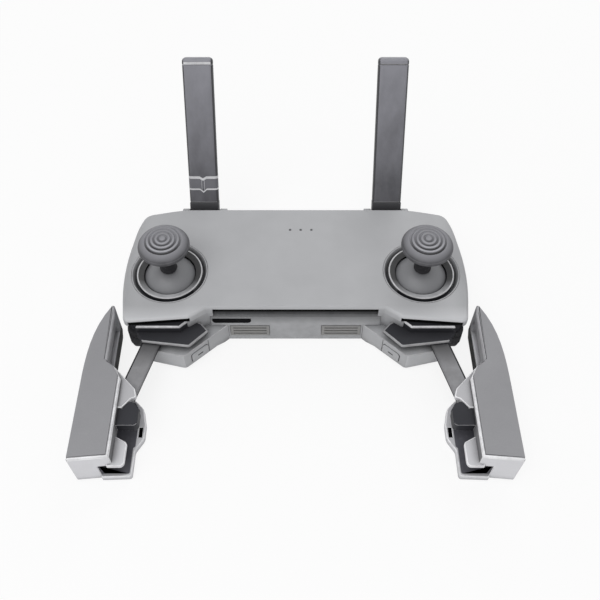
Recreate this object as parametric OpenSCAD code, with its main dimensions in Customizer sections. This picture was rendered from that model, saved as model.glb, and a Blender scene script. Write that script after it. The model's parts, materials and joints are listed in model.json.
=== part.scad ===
// Folding hand controller: two sticks, two antennas and two phone clamps on link arms.
// Millimetres. +Z up, +Y away from the holder, z = 0 on the sole, x = 0 in the middle.

/* [Body] */
// Width across the sides of the face
body_w = 144.8; // [141:0.2:153]
// Depth of the face from front edge to back edge
body_d = 56; // [55:0.2:64]
// Height of the face above the sole
body_h = 24; // [23.5:0.1:28]
// Wall thickness of both shells
wall = 1.8; // [1.6:0.1:2]

/* [Sticks] */
// Distance from the side of the face to a stick's centre
stick_inset = 19.1; // [18.7:0.1:20.5]
// Radius of the round opening under each stick
bowl_r = 13.8; // [13.2:0.1:14]
// Diameter of the ridged cap
cap_d = 21; // [18:0.2:24]
// Height of the cap above the face
cap_rise = 22; // [20:0.5:28]
// Largest tilt of a stick each way, degrees
stick_tilt = 18; // [12:1:18]

/* [Antennas] */
// Distance from the side of the face to an antenna's centre line
antenna_inset = 30.9; // [29.5:0.2:32.5]
// Width of an antenna blade
antenna_w = 13; // [10:0.2:13.6]
// Thickness of an antenna blade
antenna_t = 5; // [4.4:0.1:5.2]
// Length from hinge axis to tip
antenna_len = 69.6; // [50:0.2:90]
// Lean of a raised antenna behind the vertical, degrees
antenna_lean = 30; // [10:1:45]

/* [Link arms] */
// Distance between the two pivots of a link
link_len = 38; // [36:0.2:42]
// Outward lean of an open link, degrees
link_lean = 16; // [13:0.5:19]
// Width of a link
link_w = 7.6; // [7:0.1:8.4]
// Thickness of a link
link_t = 2.6; // [2.2:0.1:2.8]

/* [Phone clamps] */
// Height of a clamp
clamp_h = 19; // [18:0.2:22]
// Length of a clamp in front of its pivot
clamp_front = 25; // [24:0.2:26]
// Length of a clamp behind its pivot
clamp_rear = 44.6; // [40:0.2:44.8]
// Clear height of the groove for the phone's edge
groove_h = 7.8; // [7:0.1:8]

/* [Controls] */
// Radius of the camera dial
dial_r = 7.4; // [6.8:0.1:7.6]
// Travel of a push button
press = 0.7; // [0.4:0.1:0.8]

/* [Fits] */
// Running clearance round a pin
run_gap = 0.05; // [0.03:0.01:0.08]
// Clearance between parts that pass each other
pass_gap = 0.3; // [0.25:0.05:0.35]

/* [Hidden] */
$fn = 48;
grey = [0.60, 0.61, 0.63];
pale = [0.74, 0.75, 0.76];
dark = [0.20, 0.20, 0.22];
black = [0.08, 0.08, 0.09];
steel = [0.70, 0.71, 0.73];
green = [0.10, 0.32, 0.18];

hw = body_w / 2;
lobe_x = hw - 35.4;
foot_x = lobe_x - 8;
toe_x = lobe_x + 9;
toe_y = 14;
back_x = hw - 22.4;
corner_x = hw - 5.4;
back_drop = 3.6;
y_front = -28;
y_back = y_front + body_d;
bay_y = y_front + 1.3;
edge_r = 1.6;
lip_t = 1.2;
part_z = body_h - 4;
trim_top = body_h - lip_t;
trim_in = 2.8;
band_x = lobe_x - 2.7;
slit_x = lobe_x + 6.2;
floor_z = 2;

stick_x = hw - stick_inset;
stick_y = y_front + 20;
ring_r = bowl_r + 2.4;
pivot_z = part_z - 6.4;
well_r = bowl_r + 1.4;
well_z = 5.4;
house_r = bowl_r + 1.2;
house_in = bowl_r + 0.1;
axle_r = 1.2;
yoke_r = 8;
yoke_in = 6;
yoke_h = 2.8;
cross_r = 1.1;
shaft_r = 2.2;
post_in = 9;
post_out = 11.4;
dome_r = bowl_r - 0.3;
dome_t = 1.2;
dome_top = pivot_z + dome_r;
gate_r = bowl_r - 3.2;
gate_z = part_z + 2.95;
dome_a = asin(gate_r / (dome_r + 0.4)) + 1.41 * stick_tilt + 1;
crown_r = 13.6;

ant_x = hw - antenna_inset;
ant_y = y_back + 2.4;
ant_z = body_h - 7;
ant_pin_r = 1;
ant_slot = antenna_w / 2 + 0.4;
ear_w = 3.2;
ear_r = 3;
tip_h = 2.8;
knuckle_h = 6.8;

foot_z = 11;
slot_h = link_t + 2 * pass_gap;
cover_z = foot_z + slot_h;
cover_t = 2;
pin_r = 1.5;
arm_x = hw - 15;
arm_y = y_front - 1.4;
link_z = foot_z + pass_gap;
clamp_x = arm_x + link_len * sin(link_lean);
clamp_y = arm_y - link_len * cos(link_lean);
fold_in = 66;
fold_out = 5;
groove_z = foot_z - groove_h;
groove_u = 6.2;
eye_r = link_w / 2 + pass_gap;

dial_x = -hw + 14.4;
dial_y = y_back - 5.8;
dial_z = 4;
dial_t = 5;
key_x = hw - 15;
key_z = 14.2;
key_w = 9;
key_h = 4.6;
pad_key_w = 8.4;
pad_key_h = 5.6;
pad_key_z = 5.4;
usb_x = -hw + 3.6;
usb_y = y_back - 15;
usb_z = 12;
board_z = part_z - 2;
board_t = 1.4;
led_x = [-2.4, 2.3, 7];
led_y = y_back - 12.6;
led_r = 0.55;
post_x = lobe_x - 6;
post_y = [y_front + 9.4, y_back - 11];
screw_x = post_x;
screw_y = post_y;
pad_x = foot_x - 9.6;
pad_w = 16.8;
pad_z = [3.8, 11];
card_x = -lobe_x + 2.1;
card_w = 16.2;
card_z = [13.9, 16.1];
panel_t = 1.6;
panel_top = part_z - 2.7;

function unit(v) = v / norm(v);

// Points of one rounded corner at q between p and r.
function corner(p, q, r, rad, n = 6) = let(
  a = unit(p - q),
  b = unit(r - q),
  half = acos(a * b) / 2,
  c = q + unit(a + b) * rad / sin(half),
  s = q + a * rad / tan(half) - c,
  e = q + b * rad / tan(half) - c,
  a0 = atan2(s.y, s.x),
  turn = (atan2(e.y, e.x) - a0 + 540) % 360 - 180
) [for (i = [0:n]) c + rad * [cos(a0 + turn * i / n), sin(a0 + turn * i / n)]];

function flat(p) = [p.x, p.y];

// Outline from [x, y, radius] points.
function rounded(pts) = let(m = len(pts)) [for (i = [0:m - 1])
  let(q = pts[i])
  each q[2] == 0 ? [flat(q)]
    : corner(flat(pts[(i + m - 1) % m]), flat(q), flat(pts[(i + 1) % m]), q[2])];

// A right half, front to back, completed with its mirror image.
function both(half) = concat(half, [for (i = [len(half) - 1:-1:0]) [-half[i].x, half[i].y, half[i][2]]]);

// The sides of the face swell a little between the front and the back corners.
side_half = [
  [hw - 2.4, y_front - 5.4, 2.8],
  [hw + 1, y_front + 19, 100],
  [hw - 2.6, y_back - 11.5, 42],
  [corner_x, y_back - back_drop, 5.5],
  [back_x, y_back, 60]
];
face_half = concat([
  [lobe_x, bay_y, 1.5],
  [lobe_x + 6.6, y_front - 3.2, 2]
], side_half);
foot_half = [
  [foot_x, bay_y + 3, 0],
  [foot_x, bay_y, 0],
  [toe_x, y_front - toe_y, 2.5],
  [hw - 11.9, y_front - 10.6, 3],
  [hw - 6.4, y_front - 5, 3],
  [hw - 6.4, y_front + 3, 0]
];
cover_half = [
  [lobe_x - 1.1, y_front - 4.7, 0],
  [lobe_x + 6.4, y_front - 12.4, 1.6],
  [hw - 9, y_front - 9.9, 2.4],
  [hw - 6.2, y_front - 5, 1.2],
  [hw - 6.2, y_front + 2.4, 0],
  [toe_x, y_front + 2.4, 0],
  [lobe_x + 2, y_front - 1, 0]
];
ledge_back = y_front + 0.6;
ledge_half = [
  [lobe_x + 4, ledge_back, 0],
  [lobe_x + 10.4, y_front - 5.5, 0.5],
  [hw - 7.2, y_front - 5.5, 0.8],
  [hw - 3.8, y_front - 3, 1.2],
  [hw - 3.8, ledge_back, 0]
];

module side(s) {
  mirror([s < 0 ? 1 : 0, 0, 0]) children();
}

module slab(z0, z1) {
  translate([0, 0, z0]) linear_extrude(z1 - z0) children();
}

module box(x0, x1, y0, y1, z0, z1) {
  translate([x0, y0, z0]) cube([x1 - x0, y1 - y0, z1 - z0]);
}

module rod_x(r, x0, x1, y, z) {
  translate([x0, y, z]) rotate([0, 90, 0]) cylinder(r = r, h = x1 - x0);
}

module rod_y(r, x, y0, y1, z) {
  translate([x, y0, z]) rotate([-90, 0, 0]) cylinder(r = r, h = y1 - y0);
}

module rod_z(r, x, y, z0, z1) {
  translate([x, y, z0]) cylinder(r = r, h = z1 - z0);
}

module face_outline(inset = 0) {
  if (inset == 0) polygon(rounded(both(face_half)));
  else offset(delta = -inset) polygon(rounded(both(face_half)));
}

module wide_outline(inset = 0) {
  offset(delta = -inset) polygon(rounded(both(side_half)));
}

// Whole front of the body, and the parts of it where a slit under the lip shows the trim strip.
module front_zone() {
  translate([-hw + 4.2, y_front - 12]) square([2 * hw - 8.4, 16]);
}

module lobe_slit(s) {
  side(s) translate([slit_x, y_front - 12]) square([hw - 4.2 - slit_x, 16]);
}

module middle_slit() {
  translate([-band_x, y_front - 4]) square([2 * band_x, 8.4]);
}

module half_ball(r) {
  intersection() {
    sphere(r = r, $fn = 20);
    translate([-r, -r, 0]) cube([2 * r, 2 * r, r]);
  }
}

module top_shell() {
  color(grey) difference() {
    minkowski() {
      slab(part_z, body_h - edge_r) face_outline(edge_r);
      half_ball(edge_r);
    }
    slab(part_z - 1, body_h - wall) face_outline(wall + 0.2);
    slab(part_z - 1, trim_top) union() {
      middle_slit();
      lobe_slit(-1);
      lobe_slit(1);
      intersection() {
        face_outline(trim_in - 0.95);
        front_zone();
      }
    }
    for (s = [-1, 1]) {
      rod_z(ring_r, s * stick_x, stick_y, part_z - 1, body_h + 1);
      box(s * ant_x - ant_slot, s * ant_x + ant_slot, y_back - 0.5, y_back + 5, part_z - 1, body_h + 1);
    }
    for (x = led_x) rod_z(led_r + 0.05, x, led_y, part_z, body_h + 1);
  }
}

// Strip under the lip: it shows in the slits and runs behind the skirt between them.
module trim_strip() {
  color(black) union() {
    slab(part_z, trim_top) offset(delta = -0.1) intersection() {
      difference() {
        union() {
          face_outline(trim_in - 1);
          for (s = [-1, 1]) intersection() {
            face_outline(0.6);
            lobe_slit(s);
          }
        }
        face_outline(trim_in + 0.1);
      }
      front_zone();
    }
    box(-band_x + 0.1, band_x - 0.1, bay_y + 1.5, bay_y + trim_in, panel_top, trim_top);
  }
}

module link_sweep() {
  out_a = -90 + link_lean + fold_out;
  in_a = -90 + link_lean - fold_in;
  r = link_w / 2 + pass_gap;
  p = [arm_x, arm_y];
  n_out = r * [cos(out_a + 90), sin(out_a + 90)];
  n_in = r * [cos(in_a - 90), sin(in_a - 90)];
  translate(p) circle(r = r);
  polygon(concat(
    [p, p + n_out, p + n_out + 26 * [cos(out_a), sin(out_a)]],
    [for (i = [0:4]) p + 34 * [cos(out_a + (in_a - out_a) * i / 4), sin(out_a + (in_a - out_a) * i / 4)]],
    [p + n_in + 26 * [cos(in_a), sin(in_a)], p + n_in]
  ));
}

module foot() {
  hull() {
    slab(0, 0.01) offset(delta = -1.4) polygon(rounded(foot_half));
    slab(1.4, foot_z) polygon(rounded(foot_half));
  }
}

module tub_outer() {
  hull() {
    slab(0, 0.01) wide_outline(5.4);
    slab(1.2, 1.21) wide_outline(2.8);
    slab(3.4, 3.41) wide_outline(1.1);
    slab(6.4, part_z) wide_outline(0.4);
  }
}

module cavity() {
  hull() {
    slab(floor_z, floor_z + 0.01) intersection() {
      wide_outline(7);
      translate([-hw, y_front + 6.6]) square([2 * hw, body_d]);
    }
    slab(well_z, part_z + 1) intersection() {
      wide_outline(0.4 + wall);
      translate([-hw, y_front + 6.6]) square([2 * hw, body_d]);
    }
  }
  box(-lobe_x + 2.6, lobe_x - 2.6, y_front + 5.6, y_front + 9, floor_z, part_z + 1);
}

module key_frame(s) {
  lean = atan2(back_drop, corner_x - back_x);
  wall_y = y_back - 0.4 - (key_x - back_x) * tan(lean);
  translate([s * key_x, wall_y, key_z]) rotate([0, 0, -s * lean]) children();
}

module foot_key_frame(s) {
  slope = (toe_y + bay_y - y_front) / (toe_x - foot_x);
  at = [lobe_x + 3.2, bay_y - (lobe_x + 3.2 - foot_x) * slope];
  translate([s * at.x, at.y, pad_key_z]) rotate([0, 0, s * -atan(slope)]) children();
}

// A plate w by h, standing in x and z, from y0 to y1.
module plate(w, h, y0, y1, r = 1.2) {
  translate([0, y1, 0]) rotate([90, 0, 0]) linear_extrude(y1 - y0) polygon(rounded([
    [w / 2, -h / 2, r],
    [w / 2, h / 2, r],
    [-w / 2, h / 2, r],
    [-w / 2, -h / 2, r]
  ]));
}

module bottom_shell() {
  color(grey) union() {
    difference() {
      union() {
        tub_outer();
        side(1) foot();
        side(-1) foot();
        for (s = [-1, 1], e = [-1, 1]) antenna_ear(s * ant_x + e * (ant_slot + ear_w / 2));
      }
      slab(-1, foot_z) polygon([
        [-foot_x, bay_y], [foot_x, bay_y],
        [2 * toe_x - foot_x, 2 * (y_front - toe_y) - bay_y],
        [foot_x - 2 * toe_x, 2 * (y_front - toe_y) - bay_y]
      ]);
      slab(foot_z, part_z + 1) difference() {
        translate([-hw - 5, y_front - 40]) square([2 * hw + 10, 50]);
        face_outline(0.4);
        translate([-hw - 5, y_front - 3]) square([2 * hw + 10, 20]);
      }
      slab(foot_z, part_z + 1) difference() {
        translate([-lobe_x - 8, y_front - 40]) square([2 * lobe_x + 16, 42]);
        face_outline(0.4);
      }
      front_panel_space();
      difference() {
        cavity();
        for (s = [-1, 1]) antenna_pocket(s);
      }
      for (s = [-1, 1]) {
        rod_z(well_r, s * stick_x, stick_y, well_z, part_z + 1);
        antenna_notch(s);
        side(s) slab(foot_z, cover_z + 0.01) link_sweep();
        side(s) hinge_cover_space();
        rod_z(pin_r, s * arm_x, arm_y, 6, foot_z + 1);
        foot_key_frame(s) plate(pad_key_w + 0.3, pad_key_h + 0.3, -4, 4.2);
        key_frame(s) plate(key_w + 0.3, key_h + 0.3, -7, 4);
        key_frame(s) plate(key_w + 2.2, key_h + 2.2, -9, -wall - 0.2);
        rod_x(ant_pin_r, s * ant_x - ant_slot - ear_w, s * ant_x + ant_slot + ear_w, ant_y, ant_z);
      }
      rod_z(dial_r + 0.4, dial_x, dial_y, dial_z - 0.4, dial_z + dial_t + 0.4);
      rod_z(axle_r, dial_x, dial_y, floor_z, dial_z + dial_t + 0.6);
      box(-hw - 5, usb_x + 5.9, usb_y - 4.3, usb_y + 4.3, usb_z - 1.6, usb_z + 1.6);
      for (s = [-1, 1], y = screw_y) {
        rod_z(1.1, s * screw_x, y, -1, 9);
        rod_z(2.2, s * screw_x, y, -1, 1.6);
      }
    }
    for (s = [-1, 1], y = post_y) difference() {
      rod_z(2.6, s * post_x, y, floor_z - 0.5, board_z);
      rod_z(1.1, s * post_x, y, -1, 9);
      rod_z(2.2, s * post_x, y, -1, 1.6);
    }
    difference() {
      rod_z(2.6, dial_x, dial_y, 1.4, dial_z - 0.2);
      rod_z(axle_r, dial_x, dial_y, floor_z, dial_z);
    }
  }
}

module antenna_ear(x) {
  rod_x(ear_r, x - ear_w / 2, x + ear_w / 2, ant_y, ant_z);
  box(x - ear_w / 2, x + ear_w / 2, y_back - 2, ant_y, ant_z - ear_r, ant_z + ear_r / 2);
}

module antenna_pocket(s) {
  half = ant_slot + 1.6;
  box(s * ant_x - half, s * ant_x + half, y_back - 2.6, y_back, ant_z - 5, part_z + 2);
}

module antenna_notch(s) {
  box(s * ant_x - ant_slot, s * ant_x + ant_slot, y_back - 0.5, y_back + 6, ant_z - 3.4, body_h);
}

module front_panel_space() {
  box(-foot_x + 0.3, foot_x - 0.3, bay_y - 2, bay_y + panel_t, -1, panel_top);
  box(-lobe_x + 1.3, lobe_x - 1.3, bay_y - 2, bay_y + panel_t, foot_z, panel_top);
  box(-band_x, band_x, bay_y - 2, bay_y + trim_in, panel_top, part_z + 1);
}

module front_panel() {
  color(grey) difference() {
    union() {
      box(-foot_x + 0.4, foot_x - 0.4, bay_y, bay_y + panel_t, 0.6, panel_top);
      box(-lobe_x + 1.4, lobe_x - 1.4, bay_y, bay_y + panel_t, foot_z + 0.1, panel_top);
    }
    box(card_x, card_x + card_w, bay_y - 1, bay_y + panel_t - 0.4, card_z[0], card_z[1]);
    for (s = [-1, 1]) store_pad_seat(s, bay_y - 1, 0);
  }
}

module store_pad_seat(s, y0, inset) {
  half = pad_w / 2 - inset;
  box(s * pad_x - half, s * pad_x + half, y0, bay_y + panel_t / 2, pad_z[0] + inset, pad_z[1] - inset);
}

module store_pad(s) {
  mid = (pad_z[0] + pad_z[1]) / 2;
  rib = pad_w / 2 - 1.4;
  color(dark) difference() {
    store_pad_seat(s, bay_y - 0.3, 0.1);
    for (z = [mid - 2, mid, mid + 2])
      box(s * pad_x - rib, s * pad_x + rib, bay_y - 1, bay_y + 0.1, z - 0.4, z + 0.4);
  }
}

module left_store_pad() {
  store_pad(-1);
}

module right_store_pad() {
  store_pad(1);
}

module led_guide() {
  color(pale) union() {
    box(led_x[0] - 1.6, led_x[2] + 1.6, led_y - 1.6, led_y + 1.6, board_z + board_t, body_h - wall - 0.2);
    for (x = led_x) rod_z(led_r, x, led_y, body_h - wall - 0.3, body_h);
  }
}

module main_board() {
  color(green) difference() {
    box(-lobe_x + 3, lobe_x - 3, y_front + 6, y_back - 8, board_z, board_z + board_t);
    for (s = [-1, 1], y = post_y) rod_z(0.9, s * post_x, y, board_z - 1, board_z + 2);
  }
}

module battery_pack() {
  color(dark) union() {
    box(-lobe_x + 11, lobe_x - 11, y_front + 9, y_back - 14, floor_z, part_z - 8);
    box(-6, 6, y_back - 14, y_back - 12, floor_z, part_z - 10);
  }
}

module usb_port() {
  color(steel) difference() {
    box(usb_x, usb_x + 5.9, usb_y - 4.2, usb_y + 4.2, usb_z - 1.5, usb_z + 1.5);
    box(usb_x - 1, usb_x + 5.1, usb_y - 3.8, usb_y + 3.8, usb_z - 1.1, usb_z - 0.3);
    box(usb_x - 1, usb_x + 5.1, usb_y - 3.8, usb_y + 3.8, usb_z + 0.3, usb_z + 1.1);
    box(usb_x - 1, usb_x + 5.1, usb_y - 3.8, usb_y - 3.2, usb_z - 1, usb_z + 1);
    box(usb_x - 1, usb_x + 5.1, usb_y + 3.2, usb_y + 3.8, usb_z - 1, usb_z + 1);
  }
}

module case_screw(s, i) {
  color(steel) difference() {
    union() {
      rod_z(1.05, s * screw_x, screw_y[i], 0.4, 8.6);
      rod_z(2.1, s * screw_x, screw_y[i], 0.4, 1.6);
    }
    rod_z(1, s * screw_x, screw_y[i], -1, 1, $fn = 6);
  }
}

module screw_front_left() {
  case_screw(-1, 0);
}

module screw_front_right() {
  case_screw(1, 0);
}

module screw_back_left() {
  case_screw(-1, 1);
}

module screw_back_right() {
  case_screw(1, 1);
}

module bezel_ring(s) {
  color(pale) translate([s * stick_x, stick_y, 0]) rotate_extrude($fn = 96) polygon([
    [gate_r + 2.8, part_z],
    [ring_r - 0.05, part_z],
    [ring_r - 0.05, body_h],
    [ring_r - 0.5, body_h],
    [bowl_r + 0.5, part_z + 1.7],
    [bowl_r - 0.1, part_z + 1.5],
    [bowl_r - 0.5, part_z + 1.7],
    [gate_r + 0.6, gate_z],
    [gate_r, gate_z],
    [gate_r, gate_z - 0.4]
  ]);
}

module left_bezel_ring() {
  bezel_ring(-1);
}

module right_bezel_ring() {
  bezel_ring(1);
}

module gimbal_housing(s) {
  color(dark) translate([s * stick_x, stick_y, 0]) difference() {
    union() {
      difference() {
        rod_z(house_r, 0, 0, well_z, part_z, $fn = 96);
        rod_z(house_in, 0, 0, well_z + 1.2, part_z + 1, $fn = 96);
      }
      for (e = [0, 180]) rotate([0, 0, e]) {
        rod_y(2.2, 0, post_in, post_out, pivot_z);
        box(-2.2, 2.2, post_in, post_out, well_z + 0.6, pivot_z);
      }
    }
    rod_y(axle_r + run_gap, 0, -house_in + 1, house_in - 1, pivot_z);
  }
}

module left_gimbal_housing() {
  gimbal_housing(-1);
}

module right_gimbal_housing() {
  gimbal_housing(1);
}

module gimbal_yoke(s) {
  color(steel) translate([s * stick_x, stick_y, 0]) difference() {
    union() {
      rod_z(yoke_r, 0, 0, pivot_z - yoke_h / 2, pivot_z + yoke_h / 2);
      for (e = [0, 180]) rotate([0, 0, e]) {
        rod_y(axle_r, 0, yoke_r - 1, post_out, pivot_z);
        rod_y(yoke_h / 2, 0, yoke_r - 1, post_in - 0.2, pivot_z);
      }
    }
    rod_z(yoke_in, 0, 0, pivot_z - 5, pivot_z + 5);
    rod_x(cross_r + run_gap, -yoke_r - 1, yoke_r + 1, 0, pivot_z);
  }
}

module left_gimbal_yoke() {
  gimbal_yoke(-1);
}

module right_gimbal_yoke() {
  gimbal_yoke(1);
}

module stick_shaft(s) {
  color(steel) translate([s * stick_x, stick_y, 0]) union() {
    rod_x(cross_r, -yoke_r + 0.3, yoke_r - 0.3, 0, pivot_z);
    rod_x(2.6, -5, 5, 0, pivot_z);
    rod_z(shaft_r, 0, 0, pivot_z, body_h + cap_rise - 8);
    rod_z(3.4, 0, 0, dome_top - dome_t - 2.2, dome_top - dome_t - 0.6);
  }
}

module left_stick_shaft() {
  stick_shaft(-1);
}

module right_stick_shaft() {
  stick_shaft(1);
}

// Ball-shaped dust cover, centred on the gimbal so that its gap to the ring stays the same.
function ball_arc(r, a0, a1, n) = [for (i = [0:n]) let(a = a0 + (a1 - a0) * i / n)
  [r * sin(a), pivot_z + r * cos(a)]];

module stick_dome(s) {
  r_in = dome_r - dome_t;
  color(grey) translate([s * stick_x, stick_y, 0]) rotate_extrude($fn = 72) polygon(concat(
    ball_arc(dome_r, asin(shaft_r / dome_r), dome_a, 12),
    ball_arc(r_in, dome_a, asin(shaft_r / r_in), 8)
  ));
}

module left_stick_dome() {
  stick_dome(-1);
}

module right_stick_dome() {
  stick_dome(1);
}

// Height of the cap's crown at radius r, in a groove of depth d.
function crown(r, d = 0) = body_h + cap_rise - d - crown_r + sqrt(crown_r * crown_r - r * r);

module stick_cap(s) {
  r = cap_d / 2;
  top = body_h + cap_rise;
  rim = crown(r * 0.92);
  color(dark) translate([s * stick_x, stick_y, 0]) rotate_extrude($fn = 72) polygon(concat(
    [[shaft_r, dome_top], [3.6, dome_top], [3, dome_top + 1.2]],
    [[2.9, rim - 8.6], [3.4, rim - 6.2], [5, rim - 4.2]],
    [[r * 0.76, rim - 3], [r * 0.92, rim - 2.3], [r * 0.985, rim - 1.5], [r, rim - 0.8]],
    [[r * 0.985, rim - 0.3], [r * 0.92, rim]],
    [for (g = [0.77, 0.61, 0.445, 0.255]) each [
      [r * (g + 0.05), crown(r * (g + 0.05))],
      [r * (g + 0.02), crown(r * g, 0.6)],
      [r * (g - 0.02), crown(r * g, 0.6)],
      [r * (g - 0.05), crown(r * (g - 0.05))]
    ]],
    [[r * 0.08, crown(0, 0.1)], [0, crown(0, 0.4)], [0, top - 7.9], [shaft_r, top - 7.9]]
  ));
}

module left_stick_cap() {
  stick_cap(-1);
}

module right_stick_cap() {
  stick_cap(1);
}

// Room for the hinge cover: its plate, and its ledge out to the front and the side.
module hinge_cover_space() {
  slab(cover_z, cover_z + cover_t) polygon(rounded(cover_half));
  slab(cover_z, part_z + 1) polygon([
    flat(ledge_half[0]),
    flat(ledge_half[1]),
    [lobe_x + 10.4, y_front - 14],
    [hw + 3, y_front - 14],
    [hw + 3, ledge_back]
  ]);
}

module hinge_cover(s) {
  color(dark) side(s) difference() {
    union() {
      slab(cover_z, cover_z + cover_t) polygon(rounded(cover_half));
      slab(cover_z, part_z) polygon(rounded(ledge_half));
    }
    rod_z(pin_r, arm_x, arm_y, cover_z - 1, cover_z + 1.4);
  }
}

module left_hinge_cover() {
  hinge_cover(-1);
}

module right_hinge_cover() {
  hinge_cover(1);
}

module arm_pin(s) {
  color(steel) rod_z(pin_r, s * arm_x, arm_y, 6, cover_z + 1.4);
}

module left_arm_pin() {
  arm_pin(-1);
}

module right_arm_pin() {
  arm_pin(1);
}

module link_arm(s) {
  color(dark) side(s) translate([arm_x, arm_y, link_z]) rotate([0, 0, link_lean]) difference() {
    union() {
      cylinder(r = link_w / 2, h = link_t);
      translate([0, -link_len, 0]) cylinder(r = link_w / 2, h = link_t);
      translate([-link_w / 2, -link_len, 0]) cube([link_w, link_len, link_t]);
    }
    translate([0, 0, -1]) cylinder(r = pin_r + run_gap, h = link_t + 2);
    translate([0, -link_len, -1]) cylinder(r = pin_r + run_gap, h = link_t + 2);
    translate([0, -link_len, -1]) cylinder(r = 2.6, h = 1.6);
  }
}

module left_link_arm() {
  link_arm(-1);
}

module right_link_arm() {
  link_arm(1);
}

// Plan of a right clamp from its pivot: u outwards, v towards the tip.
side_u = 16.2;
tip_u = 8.6;
rail_u = 0.6;
wall_u = 7;
step_v = 17;
bow_v = 2;
function bow(v) = [side_u - (side_u - tip_u) * pow((v - bow_v) / (clamp_rear - bow_v), 3.4), v];

clamp_plan = concat(
  [[rail_u, -clamp_front + 1.4], [side_u, -clamp_front]],
  [for (i = [0:9]) bow(bow_v + (clamp_rear - 0.6 - bow_v) * i / 9)],
  [[tip_u - 0.3, clamp_rear], [wall_u + 0.8, clamp_rear - 0.6]],
  [[wall_u, clamp_rear - 5], [wall_u, step_v]],
  [[3.6, step_v - 2.4], [rail_u, step_v - 7.6]]
);

module clamp_frame(s) {
  side(s) translate([clamp_x, clamp_y, 0]) children();
}

// Room for the link's eye and for its swing.
module eye_room() {
  slab(foot_z - 0.1, cover_z) union() {
    circle(r = eye_r);
    link_space();
  }
}

module clamp_shell(s) {
  color(pale) clamp_frame(s) difference() {
    union() {
      difference() {
        minkowski() {
          slab(0.6, clamp_h - 0.6) offset(delta = -0.6) polygon(clamp_plan);
          union() {
            cylinder(r1 = 0.6, r2 = 0, h = 0.6, $fn = 8);
            mirror([0, 0, 1]) cylinder(r1 = 0.6, r2 = 0, h = 0.6, $fn = 8);
          }
        }
        slab(groove_z, foot_z) translate([groove_u - 30, -clamp_front - 5]) square([30, clamp_front + 13]);
      }
      // lower flange with its rounded lobe
      slab(0, groove_z) polygon(rounded([
        [groove_u, -clamp_front, 0], [groove_u, 8, 0], [-2.5, 8, 3], [-6.6, 4, 4], [-8.2, -3, 4],
        [-8.2, -9, 4], [-5.2, -clamp_front + 11, 3], [-5.2, -clamp_front + 0.4, 1.2]
      ]));
      // thin near tab over the groove
      slab(foot_z, foot_z + 1.8) polygon(rounded([
        [rail_u + 2, -clamp_front + 0.4, 0], [rail_u + 2, -clamp_front + 12.4, 0],
        [0.4, -clamp_front + 12.4, 1.2], [-4, -clamp_front + 10, 1.6], [-4, -clamp_front + 0.4, 1.8]
      ]));
      // shoulder over the link's eye
      slab(cover_z, clamp_h - 2.4) polygon(rounded([
        [5, step_v - 0.4, 0], [-5, 6, 1.5], [-6, 2.4, 0.8], [-3.9, 1.5, 0.8], [-0.9, -2.3, 0], [2.7, -2.3, 0]
      ]));
    }
    // seat for the cover, open to the outer side
    slab(clamp_h - 1.4, clamp_h + 1) translate([1.2, 1.1]) polygon(clamp_plan);
    eye_room();
    rod_z(pin_r, 0, 0, cover_z - 1, cover_z + 2);
    // long groove in the tip's inner wall
    box(wall_u - 1, wall_u + 1.8, step_v + 3, clamp_rear - 6, 7.4, 14.6);
    // slot in the lower flange
    slab(1.4, groove_z + 1) translate([-7.2, -8.4]) square([1.2, 4]);
  }
}

module link_space() {
  a0 = 90 + link_lean - 4;
  a1 = 90 + link_lean + 30;
  n0 = eye_r * [cos(a0 - 90), sin(a0 - 90)];
  n1 = eye_r * [cos(a1 + 90), sin(a1 + 90)];
  polygon([
    [0, 0], n0, n0 + 40 * [cos(a0), sin(a0)],
    40 * [cos((a0 + a1) / 2), sin((a0 + a1) / 2)],
    n1 + 40 * [cos(a1), sin(a1)], n1
  ]);
}

module left_clamp_shell() {
  clamp_shell(-1);
}

module right_clamp_shell() {
  clamp_shell(1);
}

module clamp_cover(s) {
  color(grey) clamp_frame(s) slab(clamp_h - 1.4, clamp_h) intersection() {
    offset(delta = -0.15) polygon(clamp_plan);
    translate([1.25, 1.15]) polygon(clamp_plan);
  }
}

module left_clamp_cover() {
  clamp_cover(-1);
}

module right_clamp_cover() {
  clamp_cover(1);
}

module clamp_knuckle(s) {
  color(dark) clamp_frame(s) difference() {
    slab(foot_z + 0.2, cover_z + 1.8) polygon(rounded([
      [rail_u, -9.4, 0], [rail_u, -2.4, 0], [-1, -2.4, 0], [-4, 1.4, 1.5], [-7.6, -2.6, 2], [-7.6, -9.4, 1.6]
    ]));
    eye_room();
  }
}

module left_clamp_knuckle() {
  clamp_knuckle(-1);
}

module right_clamp_knuckle() {
  clamp_knuckle(1);
}

module clamp_pad(s) {
  floor_t = 0.25;
  color(black) clamp_frame(s) difference() {
    union() {
      box(groove_u - 1.2, groove_u, -clamp_front + 1.5, 7.5, groove_z, foot_z - 0.1);
      slab(groove_z, groove_z + floor_t) polygon(rounded([
        [groove_u - 1, -clamp_front + 1.5, 0], [groove_u - 1, 7, 0], [-2.6, 7, 2], [-5.2, 3, 2],
        [-5.2, -clamp_front + 12.6, 0.6], [-4.4, -clamp_front + 12, 0.3], [-4.4, -clamp_front + 1.5, 0.6]
      ]));
    }
    for (i = [0:6]) translate([0, -clamp_front + 3 + i * 4, 0])
      box(groove_u - 2.2, groove_u - 0.8, 0, 2, groove_z + 0.8, foot_z - 0.9);
  }
}

module left_clamp_pad() {
  clamp_pad(-1);
}

module right_clamp_pad() {
  clamp_pad(1);
}

module clamp_pin(s) {
  color(steel) clamp_frame(s) union() {
    rod_z(pin_r, 0, 0, foot_z + 0.4, cover_z + 2);
    rod_z(2.3, 0, 0, foot_z + 0.2, foot_z + 0.7);
  }
}

module left_clamp_pin() {
  clamp_pin(-1);
}

module right_clamp_pin() {
  clamp_pin(1);
}

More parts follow.
